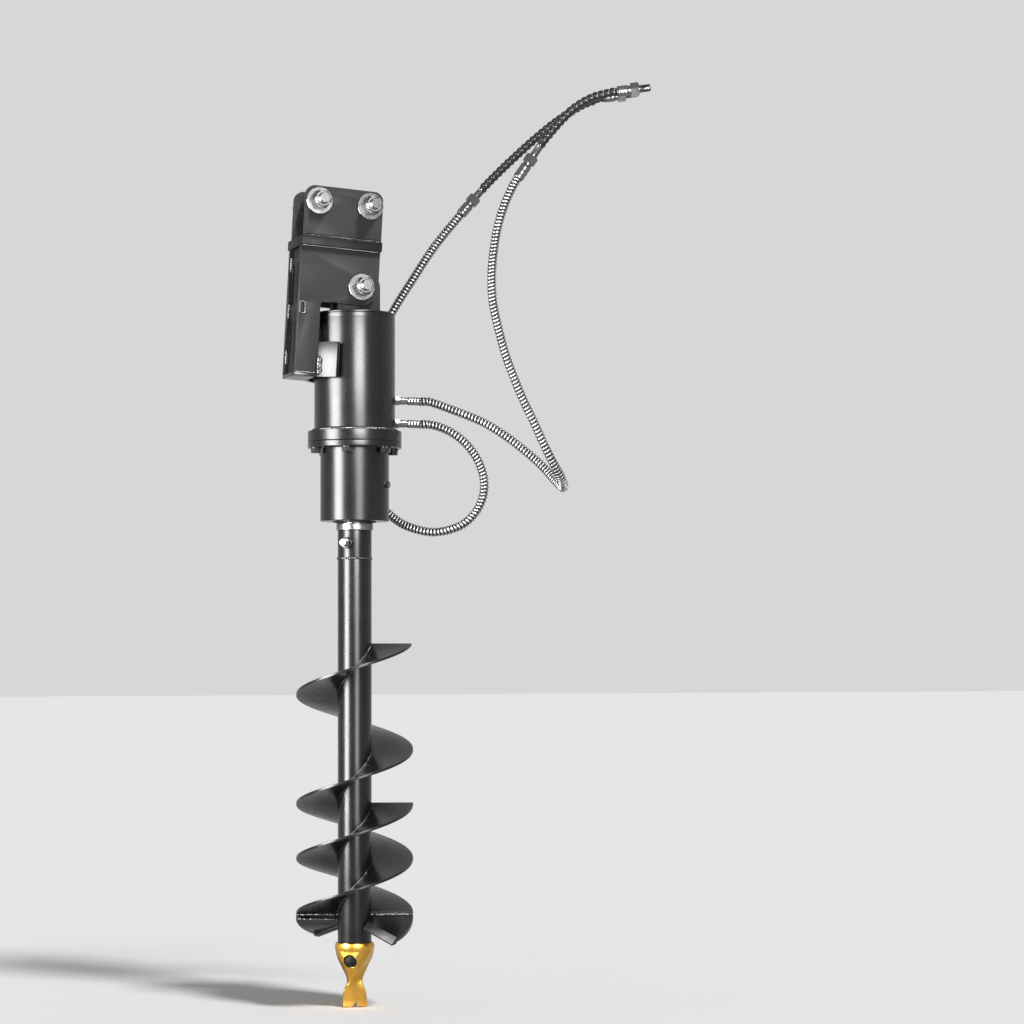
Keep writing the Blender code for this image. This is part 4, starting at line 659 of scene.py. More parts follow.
# Two ears welded on the thick plate, with the hitch pins across them. They are cut
# from 12 mm plate with round shoulders and bored for the pins.
EAR_THICKNESS = 0.012
EAR_HALF_WIDTH = 0.053
EAR_BACK = 0.133
EAR_SPAN = (0.0986, 0.2066)
EAR_CORNER = 0.020
PIN_PLACES = ((-0.1040, 0.174), (0.0090, 0.174))
low, high = EAR_SPAN
shoulder = high - EAR_CORNER
outline = [(-EAR_BACK, low), (FRAME_NOSE, low)]
outline += arc((FRAME_NOSE - EAR_CORNER, shoulder), EAR_CORNER, 0, 90, 12)
outline += arc((-EAR_BACK + EAR_CORNER, shoulder), EAR_CORNER, 90, 180, 12)
holes = [circle(PIN_RADIUS + SEAT_GAP, place) for place in PIN_PLACES]
for name, side in SIDES:
    place = facing(LEAN, side * (EAR_HALF_WIDTH - EAR_THICKNESS / 2))
    plate(f"ear_{name}", outline, holes, EAR_THICKNESS, place, SATIN_PAINT_PAINTED_SHEEN, "hitch_frame",
          f"ear_plate_{name}")

# Hitch pins and pivot bolt, with their locking nuts on broad washers. All are zinc
# plated steel: a hexagon head behind, a threaded end and a nylon ring in front.
PINS = (("hitch_pin_left", "hitch_nut_left", PIN_PLACES[0], EAR_HALF_WIDTH),
        ("hitch_pin_right", "hitch_nut_right", PIN_PLACES[1], EAR_HALF_WIDTH),
        ("pivot_bolt", "pivot_nut", (0, 0), FRAME_HALF_WIDTH))
PIN_THREAD = (0.012, 0.003)
PIN_TAIL = 0.015
PIN_HEAD = (0.046, 0.018)
WASHER = (0.0285, 0.005)
NUT = (0.036, 0.022)
NUT_RING = (0.0165, 0.007)
NUT_LIP = 0.0008
PIN_STEPS = 72
SMALL_STEPS = 36
CONE_SLOPE = math.tan(math.radians(30))
CONE_START = 0.96
THREAD_DEPTH = 0.6
ZINC_GRAIN = (0.02, 0.0002)
ZINC = clouded("zinc_plate", (0.13, 0.13, 0.13), (0.18, 0.18, 0.178), (0.19, 0.25), (35.0, 1300.0), 1.0,
               grain=ZINC_GRAIN)
DULL_ZINC = clouded("dull_zinc_plate", (0.05, 0.05, 0.05), (0.08, 0.08, 0.079), (0.20, 0.26),
                    (35.0, 1300.0), 1.0, grain=ZINC_GRAIN)
NYLON = clouded("nylon_ring", (0.52, 0.52, 0.48), (0.70, 0.70, 0.66), (0.40, 0.60), (60.0, 900.0))


def ring_of(radius, height, count=PIN_STEPS):
    """Points of a ring. Its radius and height are numbers, or rules of the turn."""
    made = []
    for i in range(count):
        turn = math.tau * i / count
        out = radius(turn) if callable(radius) else radius
        up = height(turn) if callable(height) else height
        made.append((out * math.cos(turn), out * math.sin(turn), up))
    return made


def stepped(steps, count=PIN_STEPS):
    """Rings of a turned piece, from its steps of (radius, height)."""
    return [ring_of(radius, height, count) for radius, height in steps]


def hexagon_rings(flats, low, high, cones=(True, True), count=PIN_STEPS):
    """Rings of a hexagon between two heights, its corners turned off by a cone at its ends."""
    face = flats / 2 * CONE_START

    def reach(turn):
        return flats / 2 / math.cos(turn % (math.pi / 3) - math.pi / 6)

    def shoulder(height, inward):
        return ring_of(reach, lambda turn: height + max(0, reach(turn) - face) * CONE_SLOPE * inward, count)

    def end(height, coned):
        return [ring_of(lambda turn: min(reach(turn), face), height, count)] if coned else []

    sides = [shoulder(low, cones[0]), shoulder(high, -cones[1])]
    return end(low, cones[0]) + sides + end(high, cones[1])


def thread_rings(radius, pitch, low, high, count=PIN_STEPS):
    """Rings of a screw thread, whose ridge climbs one pitch a turn and runs out at its end."""
    steps = max(8, round((high - low) / pitch * 4))

    def ring(i):
        height = low + (high - low) * i / steps
        fade = min(1, (steps - i) / 3)

        def out(turn):
            wave = abs(2 * ((height / pitch - turn / math.tau) % 1) - 1)
            return radius - pitch * THREAD_DEPTH * (wave * fade + (1 - fade))

        return ring_of(out, height, count)

    return [ring(i) for i in range(steps + 1)]


def aimed(place, direction):
    """Matrix that stands a piece made along +Z at a place, pointing in a direction."""
    turn = Vector(direction).to_track_quat("Z", "Y").to_matrix().to_4x4()
    return Matrix.Translation(place) @ turn


def bolt_rings(head, stem, thread, low, shoulder, tail, count=PIN_STEPS):
    """A headed bolt: hexagon, smooth stem to its shoulder, then thread to its tail."""
    (flats, height), (radius, pitch) = head, thread
    rings = hexagon_rings(flats, low - height, low, (True, False), count)
    rings += stepped(((stem, low), (stem, shoulder - pitch / 4), (radius, shoulder)), count)
    return rings + thread_rings(radius, pitch, shoulder + pitch / 4, tail, count)


bore = PIN_THREAD[0] + SEAT_GAP
radius, thickness = WASHER
nut_top, collar_radius = thickness + NUT[1], NUT_RING[0]
lip, crown, collar_top = nut_top + NUT_LIP, collar_radius - 0.0016, nut_top + NUT_RING[1]
NUT_PIECES = (
    ("washer", ZINC, stepped((
        (bore, SEAT_GAP), (radius - 0.0004, SEAT_GAP), (radius, 0.0008), (radius, thickness - 0.0006),
        (radius - 0.0006, thickness), (bore, thickness)))),
    ("hexagon", DULL_ZINC, [
        ring_of(bore, thickness), *hexagon_rings(NUT[0], thickness, nut_top),
        *stepped(((crown, nut_top), (crown, lip), (bore, lip)))]),
    ("collar", ZINC, stepped((
        (bore, lip), (collar_radius - 0.0004, lip), (collar_radius, lip + 0.0008),
        (collar_radius, collar_top - 0.0012), (collar_radius - 0.0012, collar_top),
        (bore + 0.0008, collar_top), (bore, collar_top - 0.0008)))),
    ("nylon", NYLON, stepped((
        (bore, nut_top + 0.0022), (crown, nut_top + 0.0022), (crown - 0.0002, collar_top + 0.0004),
        (bore, collar_top + 0.0004)))),
)
for pin, nut, (across, up), grip in PINS:
    tail = grip + collar_top + PIN_TAIL
    rings = bolt_rings(PIN_HEAD, PIN_RADIUS, PIN_THREAD, -grip - SEAT_GAP, grip, tail)
    stand = LEAN @ aimed((across, 0, up), (0, -1, 0))
    finished(f"turned_{pin}", lofted(rings), stand, ZINC, "hitch_frame", "zinc", pin)
    stand = LEAN @ aimed((across, -grip, up), (0, -1, 0))
    for kind, finish, rings in NUT_PIECES:
        nodes = (nut,) if kind == "washer" else ()
        finished(f"{kind}_{nut}", lofted(rings, shut=True), stand, finish, "hitch_frame", "zinc", *nodes)

# Casing of the drive: a thick lid, a steel tube round the motor, two bolted flanges and
# the planetary gearbox. Turned smooth, welded, and painted gloss black all over.
HEAD = Matrix.Translation(PIVOT)
CASING_STEPS = 128
CAP_DROPS = (0.052, 0.066)
CAP_GROOVE = (0.0048, 0.0032, 0.0014)
PORT_HOLE = (0.0078, 0.02, 0.083)
HOUSING_END = 0.305
UPPER_FLANGE_END = 0.329
LOWER_FLANGE_END = 0.342
GEARBOX_END = 0.499
FLANGE_RADIUS = 0.101
GEARBOX_RADIUS = 0.074
HOUSING_BORE = 0.079
FLANGE_BORE = 0.045
CASING_BORE = 0.065
SEAL_BORE = 0.0463
RACE_BORE = 0.0482
RACE_SHELF = 0.408
FLOOR_TOP = 0.485


def rounded(points, radius, steps=4, shut=False):
    """An outline with its corners turned into small arcs."""
    made = []
    for i, corner in enumerate(points):
        if not shut and i in (0, len(points) - 1):
            made.append(tuple(corner))
            continue
        here = Vector(corner)
        before, after = Vector(points[i - 1]) - here, Vector(points[(i + 1) % len(points)]) - here
        size = min(radius, before.length / 2.1, after.length / 2.1)
        start, end = here + before.normalized() * size, here + after.normalized() * size
        for j in range(steps + 1):
            t = j / steps
            made.append(tuple(start.lerp(here, t).lerp(here.lerp(end, t), t)))
    return made


def sleeve(bore, radius, top, end):
    """Profile of a plain sleeve."""
    return ((bore, top), (radius, top), (radius, end), (bore, end))


def spun(name, profile, finish, body, slot, node, corner, count=CASING_STEPS, cutters=(), place=HEAD):
    """A turned piece from its profile of (radius, height) points, fitted in its place."""
    hollow = profile[0][0] > 0
    rings = []
    for radius, height in rounded(profile, corner, shut=hollow):
        rings.append(ring_of(radius, height, count) if radius > 0 else [(0, 0, height)])
    finished(name, lofted(rings, shut=hollow), place, finish, body, slot, node, cutters=cutters)


def cylinder(radius, length, place, count=SMALL_STEPS):
    """A cutter along its own axis, set in its place."""
    made = as_object("cutter", lofted(stepped(((radius, -length / 2), (radius, length / 2)), count)))
    made.data.transform(place)
    return made


cap_top, cap_end = CAP_DROPS
low, high, depth = CAP_GROOVE
groove = (-cap_top - high, -cap_top - (low + high) / 2, -cap_top - low)
profile = ((0, -cap_top), (CASING_RADIUS - 0.0006, -cap_top), (CASING_RADIUS, -cap_top - 0.0012),
           (CASING_RADIUS, groove[0]), (CASING_RADIUS - depth, groove[1]), (CASING_RADIUS, groove[2]),
           (CASING_RADIUS, -cap_end), (0, -cap_end))
spun("lid", profile, GLOSS_PAINT, "drive_head", "black_paint", "top_cap", 0.0003)
radius, length, middle = PORT_HOLE
holes = [cylinder(radius, length, aimed((middle, 0, -drop), (1, 0, 0))) for drop in PORT_DROPS]
spun("casing_tube", sleeve(HOUSING_BORE, CASING_RADIUS, -cap_end - SEAT_GAP, -HOUSING_END), GLOSS_PAINT,
     "drive_head", "black_paint", "motor_housing", 0.0002, cutters=holes)

# Flanges between the casing and the gearbox. A thick ring is welded under the casing;
# six cap screws come up through the gearbox's own flange and hold it to that ring.
SCREW_CIRCLE = 0.088
SCREW_FIRST = math.radians(242.5)
SCREW_COUNT = 6
SCREW_HEAD = (0.019, 0.012)
SCREW_WASHER = (0.0118, 0.0018)
SCREW_GRIP = 0.018
SCREW_RADIUS = 0.006
spun("upper_flange_ring", sleeve(FLANGE_BORE, FLANGE_RADIUS, -HOUSING_END - SEAT_GAP, -UPPER_FLANGE_END),
     GLOSS_PAINT, "drive_head", "black_paint", "upper_flange", 0.0016)


def round_the_axis_tree():
    """Nodes that set copies of a screw round an axis, each turned to face outwards."""
    tree, given, result = new_tree("GeometryNodeTree", "round_the_axis", {
        "Screw": "Geometry", "Count": "Int", "Circle Radius": "Float", "First Bearing": "Float",
        "Height": "Float", "Finish": "Material",
    }, {"Screws": "Geometry"})
    whole = maths(tree, "MULTIPLY", grow(tree, "GeometryNodeInputIndex"), math.tau)
    bearing = maths(tree, "ADD", maths(tree, "DIVIDE", whole, given["Count"]), given["First Bearing"])
    spot = grow(tree, "ShaderNodeCombineXYZ", {
        "X": maths(tree, "MULTIPLY", maths(tree, "COSINE", bearing), given["Circle Radius"]),
        "Y": maths(tree, "MULTIPLY", maths(tree, "SINE", bearing), given["Circle Radius"]),
        "Z": given["Height"]})
    placed = grow(tree, "GeometryNodeSetPosition", {
        "Geometry": grow(tree, "GeometryNodePoints", {"Count": given["Count"]}), "Position": spot})
    copies = grow(tree, "GeometryNodeInstanceOnPoints", {
        "Points": placed, "Instance": given["Screw"],
        "Rotation": grow(tree, "ShaderNodeCombineXYZ", {"Z": bearing})})
    real = grow(tree, "GeometryNodeRealizeInstances", {"Geometry": copies})
    coated = grow(tree, "GeometryNodeSetMaterial", {"Geometry": real, "Material": given["Finish"]})
    tree.links.new(coated, result[0])
    return tree


seat = -LOWER_FLANGE_END - SEAT_GAP
head_end = seat - SCREW_WASHER[1]
rings = hexagon_rings(SCREW_HEAD[0], -LOWER_FLANGE_END - SCREW_HEAD[1], head_end, (True, False), SMALL_STEPS)
rings += stepped(((SCREW_WASHER[0], head_end), (SCREW_WASHER[0], seat), (SCREW_RADIUS, seat),
                  (SCREW_RADIUS, -LOWER_FLANGE_END + SCREW_GRIP)), SMALL_STEPS)
screws = grown_mesh("flange_screws", as_object("screw", lofted(rings)), round_the_axis_tree(), {
    "Count": SCREW_COUNT, "Circle Radius": SCREW_CIRCLE, "First Bearing": SCREW_FIRST,
    "Height": 0.0, "Finish": GLOSS_PAINT,
})
screw_form = bmesh.new()
screw_form.from_mesh(applied(screws))
finished("flange_screw_set", screw_form, HEAD, GLOSS_PAINT, "drive_head", "black_paint")

# Gearbox: one cast and turned pot with the ring gear inside, a bore for the seal in its
# floor, and a small zinc level plug at the side. Painted with the rest of the casing.
PLUG_BEARING = math.radians(322)
PLUG_DROP = 0.421
PLUG_HEAD = (0.014, 0.006)
PLUG_THREAD = 0.0045
PLUG_DEPTH = 0.0045
PLUG_HOLE = 0.024
POT_CORNER = 0.001
SCREW_HOLE = 0.03
SCREW_HOLE_MIDDLE = -0.3355


def radial(bearing):
    """Unit direction out from the drive axis."""
    return Vector((math.cos(bearing), math.sin(bearing), 0))


holes = []
for i in range(SCREW_COUNT):
    spot = radial(SCREW_FIRST + math.tau * i / SCREW_COUNT) * SCREW_CIRCLE
    spot.z = SCREW_HOLE_MIDDLE
    holes.append(cylinder(SCREW_RADIUS + SEAT_GAP, SCREW_HOLE, Matrix.Translation(spot)))
seat = radial(PLUG_BEARING) * GEARBOX_RADIUS - Vector((0, 0, PLUG_DROP))
plug_place = aimed(seat, radial(PLUG_BEARING))
holes.append(cylinder(PLUG_THREAD + SEAT_GAP, PLUG_HOLE, plug_place))
profile = (
    (CASING_BORE, -UPPER_FLANGE_END - SEAT_GAP), (FLANGE_RADIUS, -UPPER_FLANGE_END - SEAT_GAP),
    (FLANGE_RADIUS, -LOWER_FLANGE_END), (GEARBOX_RADIUS + POT_CORNER, -LOWER_FLANGE_END),
    (GEARBOX_RADIUS, -LOWER_FLANGE_END - 2 * POT_CORNER), (GEARBOX_RADIUS, -GEARBOX_END),
    (SEAL_BORE, -GEARBOX_END), (SEAL_BORE, -FLOOR_TOP), (RACE_BORE, -FLOOR_TOP),
    (RACE_BORE, -RACE_SHELF), (CASING_BORE, -RACE_SHELF),
)
spun("gearbox_pot", profile, GLOSS_PAINT, "drive_head", "black_paint", "gearbox_housing", 0.0016,
     cutters=holes)
rings = stepped(((PLUG_THREAD, -PLUG_DEPTH), (PLUG_THREAD, SEAT_GAP)), SMALL_STEPS)
rings += hexagon_rings(PLUG_HEAD[0], SEAT_GAP, PLUG_HEAD[1], (False, True), SMALL_STEPS)
finished("level_plug", lofted(rings), HEAD @ plug_place, ZINC, "drive_head", "zinc", "oil_plug")

# Two lugs welded on the lid, which hang the drive from the pivot bolt on a bronze bush.
# They are flame-cut from 15 mm plate with round heads.
LUG_RADIUS = 0.046
LUG_THICKNESS = 0.015
LUG_FACE = 0.037
BUSH_RADIUS = 0.0213
BUSH_HALF = 0.039
BRONZE = clouded("bronze", (0.30, 0.18, 0.08), (0.66, 0.44, 0.20), (0.28, 0.48), (50.0, 900.0), 1.0)
low = -cap_top + SEAT_GAP
outline = [(-LUG_RADIUS, low), (LUG_RADIUS, low)] + arc((0, 0), LUG_RADIUS, 0, 180, 36)
for name, side in SIDES:
    place = facing(HEAD, side * (LUG_FACE - LUG_THICKNESS / 2))
    plate(f"cut_lug_{name}", outline, [circle(BUSH_RADIUS + SEAT_GAP)], LUG_THICKNESS, place,
          SATIN_PAINT_PAINTED_SHEEN, "drive_head", f"lug_{name}", 0.0008)
spun("bronze_bush", sleeve(PIN_RADIUS + SEAT_GAP, BUSH_RADIUS, BUSH_HALF, -BUSH_HALF), BRONZE,
     "drive_head", "bronze", "pivot_bush", 0.0008, 64, place=HEAD @ FACING_FRONT)

# Output end: a bright ground collar on the shaft below the seal, then the auger's hub,
# a steel socket slipped over the shaft and held by one zinc cross bolt and its nut.
TUBE_RADIUS = 0.0365
COLLAR_RADIUS = 0.0395
SHAFT_BORE = 0.0253
HUB_BORE = 0.0255
COLLAR_DROPS = (0.503, 0.5185)
HUB_END = 0.579
HUB_BOLT_BEARING = math.radians(232)
HUB_BOLT_DROP = 0.5465
CROSS_BOLT_HEAD = (0.024, 0.010)
CROSS_BOLT_THREAD = (0.008, 0.002)
HUB_NUT_HEIGHT = 0.015
HUB_BOLT_TAIL = 0.018
HUB_HOLE = 0.15
TUBE_STEPS = 96


def ground_steel(name, dark, light):
    """Ground steel with fine rings left by turning."""
    made = clouded(name, dark, light, (0.18, 0.34), (45.0, 1100.0), 1.0)
    tree = made.node_tree
    rings = grow(tree, "ShaderNodeTexWave", {
        "Vector": object_place(tree), "Scale": 900.0, "Distortion": 0.6, "Detail": 1.0,
    }, "Fac", wave_type="BANDS", bands_direction="Z")
    bumped(tree, rings, 0.10, 0.0002)
    return made


OILED_STEEL = ground_steel("oiled_steel", (0.12, 0.12, 0.12), (0.20, 0.20, 0.20))
top, end = COLLAR_DROPS
spun("ground_collar", sleeve(SHAFT_BORE, COLLAR_RADIUS, -top, -end), OILED_STEEL, "auger",
     "bright_steel", "shaft_collar", 0.0014, TUBE_STEPS)
across = aimed((0, 0, -HUB_BOLT_DROP), radial(HUB_BOLT_BEARING))
bore = CROSS_BOLT_THREAD[0] + SEAT_GAP
spun("hub_socket", sleeve(HUB_BORE, TUBE_RADIUS, -end - SEAT_GAP, -HUB_END), GLOSS_PAINT, "auger",
     "black_paint", "auger_hub", 0.0012, TUBE_STEPS, [cylinder(bore, HUB_HOLE, across)])
seat = TUBE_RADIUS + SEAT_GAP
nut_top = seat + HUB_NUT_HEIGHT
rings = bolt_rings(CROSS_BOLT_HEAD, CROSS_BOLT_THREAD[0], CROSS_BOLT_THREAD, -seat, seat,
                   nut_top + HUB_BOLT_TAIL, SMALL_STEPS)
finished("cross_bolt", lofted(rings), HEAD @ across, ZINC, "auger", "zinc", "hub_bolt")
rings = hexagon_rings(CROSS_BOLT_HEAD[0], seat, nut_top, count=SMALL_STEPS)
rings = [ring_of(bore, seat, SMALL_STEPS), *rings, ring_of(bore, nut_top, SMALL_STEPS)]
finished("cross_nut", lofted(rings, shut=True), HEAD @ across, GLOSS_PAINT, "auger", "zinc", "hub_nut")

# Auger's pipe and flights. The flights are flat bar pressed into a screw: one runs the
# whole pipe, a shorter one starts opposite it at the foot. Welded on and painted gloss.
AUGER_PHASE = math.radians(343.4)
AUGER = HEAD @ Matrix.Rotation(AUGER_PHASE, 4, "Z")
TUBE_BORE = 0.030
TUBE_END = 1.406
FLIGHT_RADIUS = 0.126
FLIGHT_THICKNESS = 0.006
FLIGHT_PITCH = 0.235
FLIGHT_FOOT = -1.346
FLIGHT_EDGE = 0.0012
FLIGHT_STEPS = 90
FLIGHTS = (("main_flight", math.pi, 2.46), ("second_flight", 0.0, 1.0))


def screwed(section, turns, turn_steps):
    """A section of (radius, height) points carried up round the pipe, as rings."""
    steps = round(turn_steps * turns)
    rings = []
    for i in range(steps + 1):
        turn = math.tau * turns * i / steps
        climb = FLIGHT_FOOT + FLIGHT_THICKNESS / 2 + FLIGHT_PITCH * turns * i / steps
        rings.append([(radius * math.cos(turn), radius * math.sin(turn), climb + height)
                      for radius, height in section])
    return rings


spun("auger_pipe", sleeve(TUBE_BORE, TUBE_RADIUS, -HUB_END - SEAT_GAP, -TUBE_END), GLOSS_PAINT,
     "auger", "black_paint", "auger_tube", 0.0009, TUBE_STEPS)
root, half = TUBE_RADIUS + SEAT_GAP, FLIGHT_THICKNESS / 2
corners = [(root, -half), (root, half), (FLIGHT_RADIUS, half), (FLIGHT_RADIUS, -half)]
section = corners[:2] + rounded(corners, FLIGHT_EDGE, 3, shut=True)[8:]
for node, bearing, turns in FLIGHTS:
    place = AUGER @ Matrix.Rotation(bearing, 4, "Z")
    form = lofted(screwed(section, turns, FLIGHT_STEPS))
    finished(f"pressed_{node}", form, place, GLOSS_PAINT, "auger", "black_paint", node)

# Two cutting blades under the flights. Each is a slanted plate whose rim follows the
# flight, with a hard tooth bar of dark, scraped wear steel brazed along its leading edge.
BLADE_THICKNESS = 0.010
BLADE_SWEEP = math.radians(45)
BLADE_SLOPE = math.radians(25)
BLADE_STRETCH = 1 / math.cos(BLADE_SLOPE)
BLADE_STEPS = 24
BLADE_CORE = 0.6
TOOTH_DEPTH = 0.014
TOOTH_HALF = 0.008
TOOTH_SPAN = (0.040, 0.127)
TOOTH_EDGE = 0.004


def wear_steel():
    """Dark hard steel, scraped in long marks by the ground."""
    made = clouded("wear_steel", (0.014, 0.014, 0.014), (0.07, 0.07, 0.07), (0.34, 0.55), (30.0, 800.0), 0.7)
    tree = made.node_tree
    drawn = grow(tree, "ShaderNodeMapping", {"Vector": object_place(tree), "Scale": (30.0, 30.0, 260.0)})
    marks = grow(tree, "ShaderNodeTexNoise", {
        "Vector": drawn, "Scale": 3.0, "Detail": 5.0, "Roughness": 0.65})
    tree.links.new(marks, tree.nodes["Mix"].inputs[0])
    bumped(tree, marks, 0.25, 0.0006)
    return made


def blade_point(radius, angle):
    """A point of the slanted blade that lies at a radius of the flight."""
    return radius * math.cos(angle), -radius * math.sin(angle) * BLADE_STRETCH


WEAR_STEEL = wear_steel()
rim = [blade_point(FLIGHT_RADIUS, BLADE_SWEEP * i / BLADE_STEPS) for i in range(1, BLADE_STEPS + 1)]
outline = [(TUBE_RADIUS / 2, 0), (FLIGHT_RADIUS, 0), *rim, blade_point(TUBE_RADIUS / 2, BLADE_SWEEP)]
along = Vector((*blade_point(1, BLADE_SWEEP), 0))
ahead = Vector((along.y, -along.x, 0)).normalized()
section = ((SEAT_GAP, TOOTH_HALF), (SEAT_GAP, -TOOTH_HALF), (TOOTH_DEPTH, -TOOTH_HALF),
           (TOOTH_DEPTH, -TOOTH_HALF + TOOTH_EDGE))
BLADE_SLANTS = []
for number, bearing in ((1, 0), (2, math.pi)):
    drop = Matrix.Translation((0, 0, FLIGHT_FOOT - BLADE_THICKNESS / 2 * BLADE_STRETCH))
    slant = AUGER @ Matrix.Rotation(bearing, 4, "Z") @ drop @ Matrix.Rotation(BLADE_SLOPE, 4, "X")
    BLADE_SLANTS.append(slant)
    core = cylinder(TUBE_RADIUS + SEAT_GAP, BLADE_CORE, slant.inverted() @ HEAD @ drop, TUBE_STEPS)
    plate(f"slant_blade_{number}", outline, (), BLADE_THICKNESS, slant, GLOSS_PAINT, "auger",
          f"cutting_blade_{number}", 0.0009, [core])
    rings = [[along * distance + ahead * reach + Vector((0, 0, high)) for reach, high in section]
             for distance in TOOTH_SPAN]
    finished(f"hard_tooth_{number}", lofted(rings), slant, WEAR_STEEL, "auger", "wear_steel",
             f"tooth_bar_{number}", edge=0.0006)

# Pilot bit that centres the hole: a steel casting with a round rim, milled flats, a
# half twist and a forked point, gold coated. One dark bolt holds it on in a recess.
PILOT_RADIUS = 0.043
PILOT_TOP = -1.4063
PILOT_LENGTH = 0.138
PILOT_SIDES = 96
PILOT_ROWS = (
    (0.0, 0.96, 0.95, -86), (0.07, 1.0, 0.98, -102), (0.23, 0.885, 0.80, -113), (0.36, 0.70, 0.55, -118),
    (0.51, 0.46, 0.33, -138), (0.62, 0.39, 0.24, -168), (0.70, 0.50, 0.20, -174),
    (0.80, 0.58, 0.15, -173), (0.90, 0.61, 0.11, -172), (1.0, 0.62, 0.09, -170),
)
ROW_SPLITS = 6
FORK = ((-0.010, -0.005), (0.005, 0.0123), (0.005, -0.0223))
FORK_REACH = 0.08
PILOT_BOLT_BEARING = math.radians(236)
PILOT_BOLT_DROP = 0.038
PILOT_BOLT_SEAT = 0.021
PILOT_BOLT_DEPTH = 0.014
PILOT_BOLT_BORE = 0.0083
RECESS_RADIUS = 0.01488
STEP_DROP = 0.017
STEP_DEPTH = 0.0365
STEP_BOX = (0.02, 0.09, 0.022)
# Its edges take a pale gold: partly coating scuffed thin, partly a painted highlight.
GOLD_COAT = clouded("gold_coat", (0.42, 0.215, 0.028), (0.64, 0.375, 0.075), (0.24, 0.40), (26.0, 1000.0),
                    1.0, grain=(0.10, 0.0004), wear_and_highlight_edges=(0.0012, 60.0, 0.7, (0.95, 0.72, 0.30)))
rings = []
for drop, width, flat, twist in curved(PILOT_ROWS, ROW_SPLITS):
    turn = Matrix.Rotation(math.radians(twist), 3, "Z")
    limit = PILOT_RADIUS * flat
    ring = []
    for x, y, height in ring_of(PILOT_RADIUS * width, PILOT_TOP - PILOT_LENGTH * drop, PILOT_SIDES):
        ring.append(turn @ Vector((x, max(-limit, min(limit, y)), height)))
    rings.append(ring)
fork_rings = [[(across, reach, PILOT_TOP - PILOT_LENGTH + up) for across, up in FORK]
              for reach in (-FORK_REACH, FORK_REACH)]
outward = radial(PILOT_BOLT_BEARING - AUGER_PHASE)
seat = Vector((0, 0, PILOT_TOP - PILOT_BOLT_DROP)) + outward * PILOT_BOLT_SEAT
cutters = [as_object("fork", lofted(fork_rings)),
           cylinder(RECESS_RADIUS, PILOT_RADIUS, aimed(seat + outward * PILOT_RADIUS / 2, outward), 48),
           cylinder(PILOT_BOLT_BORE, 2 * PILOT_BOLT_DEPTH, aimed(seat, outward))]
for opposite in (0, math.pi):
    form = bmesh.new()
    bmesh.ops.create_cube(form, size=1, matrix=Matrix.Diagonal((*STEP_BOX, 1)))
    step = as_object("milled_step", form)
    step.matrix_world = Matrix.Rotation(
        PILOT_BOLT_BEARING - AUGER_PHASE + opposite, 4, "Z") @ Matrix.Translation(
        (STEP_DEPTH + STEP_BOX[0] / 2, 0, PILOT_TOP - STEP_DROP - STEP_BOX[2] / 2))
    cutters.append(step)
finished("twisted_bit", lofted(rings), AUGER, GOLD_COAT, "auger", "gold_coat", "pilot_bit",
         cutters=cutters, smooth=28)
radius = CROSS_BOLT_THREAD[0]
rings = stepped(((radius, -PILOT_BOLT_DEPTH + SEAT_GAP), (radius, SEAT_GAP)), SMALL_STEPS)
rings += hexagon_rings(CROSS_BOLT_HEAD[0], SEAT_GAP, CROSS_BOLT_HEAD[1], (False, True), SMALL_STEPS)
finished("bit_bolt", lofted(rings), AUGER @ aimed(seat, outward), SHADOW_PAINT, "auger", "wear_steel",
         "pilot_bolt")

# Hydraulic fittings, all zinc plated. Hexagon adapters screw into the motor's ports and
# carry the hoses' crimped tails; above, a crimped shell and a nut join hose to lead.
FITTING_STEPS = 72
ADAPTER_FLATS = 0.019
ADAPTER_BASE = ((0.0075, 0), (0.0088, 0.0002), (0.0088, 0.0014))
ADAPTER_HEXAGON = (0.0014, 0.012)
ADAPTER_NECK = ((0.008, 0.012), (0.008, 0.0157))
MOTOR_FACE = 0.045
TAIL_NECK = ((0.0076, 0), (0.008, 0.0005), (0.008, 0.011), (0.0068, 0.0118), (0.0068, 0.0145))
TAIL_SHELL = (0.009, 0.0155, 0.0420, 4)
TAIL_END = ((0.0083, 0.0429),)
CRIMP_DEPTH = 0.0007
UNION_FLATS = 0.027
UNION_NUT = 0.018
UNION_STEM = 0.0085
UNION_PITCH = 0.0018
UNION_SHELL = 0.012
UNION_SHARE = 0.45
END_SHARE = 0.40


def crimped(radius, low, high, bands):
    """Rings of a shell squeezed by a crimping tool: shallow bands and flats round it."""
    rings = []
    for i in range(bands * 6 + 1):
        band = 0.5 - 0.5 * math.cos(math.tau * i / 6)

        def out(turn):
            jaw = 0.5 - 0.5 * math.cos(8 * turn)
            return radius - CRIMP_DEPTH * (1 - band) - CRIMP_DEPTH * 0.5 * jaw * band

        rings.append(ring_of(out, low + (high - low) * i / (bands * 6), FITTING_STEPS))
    return rings


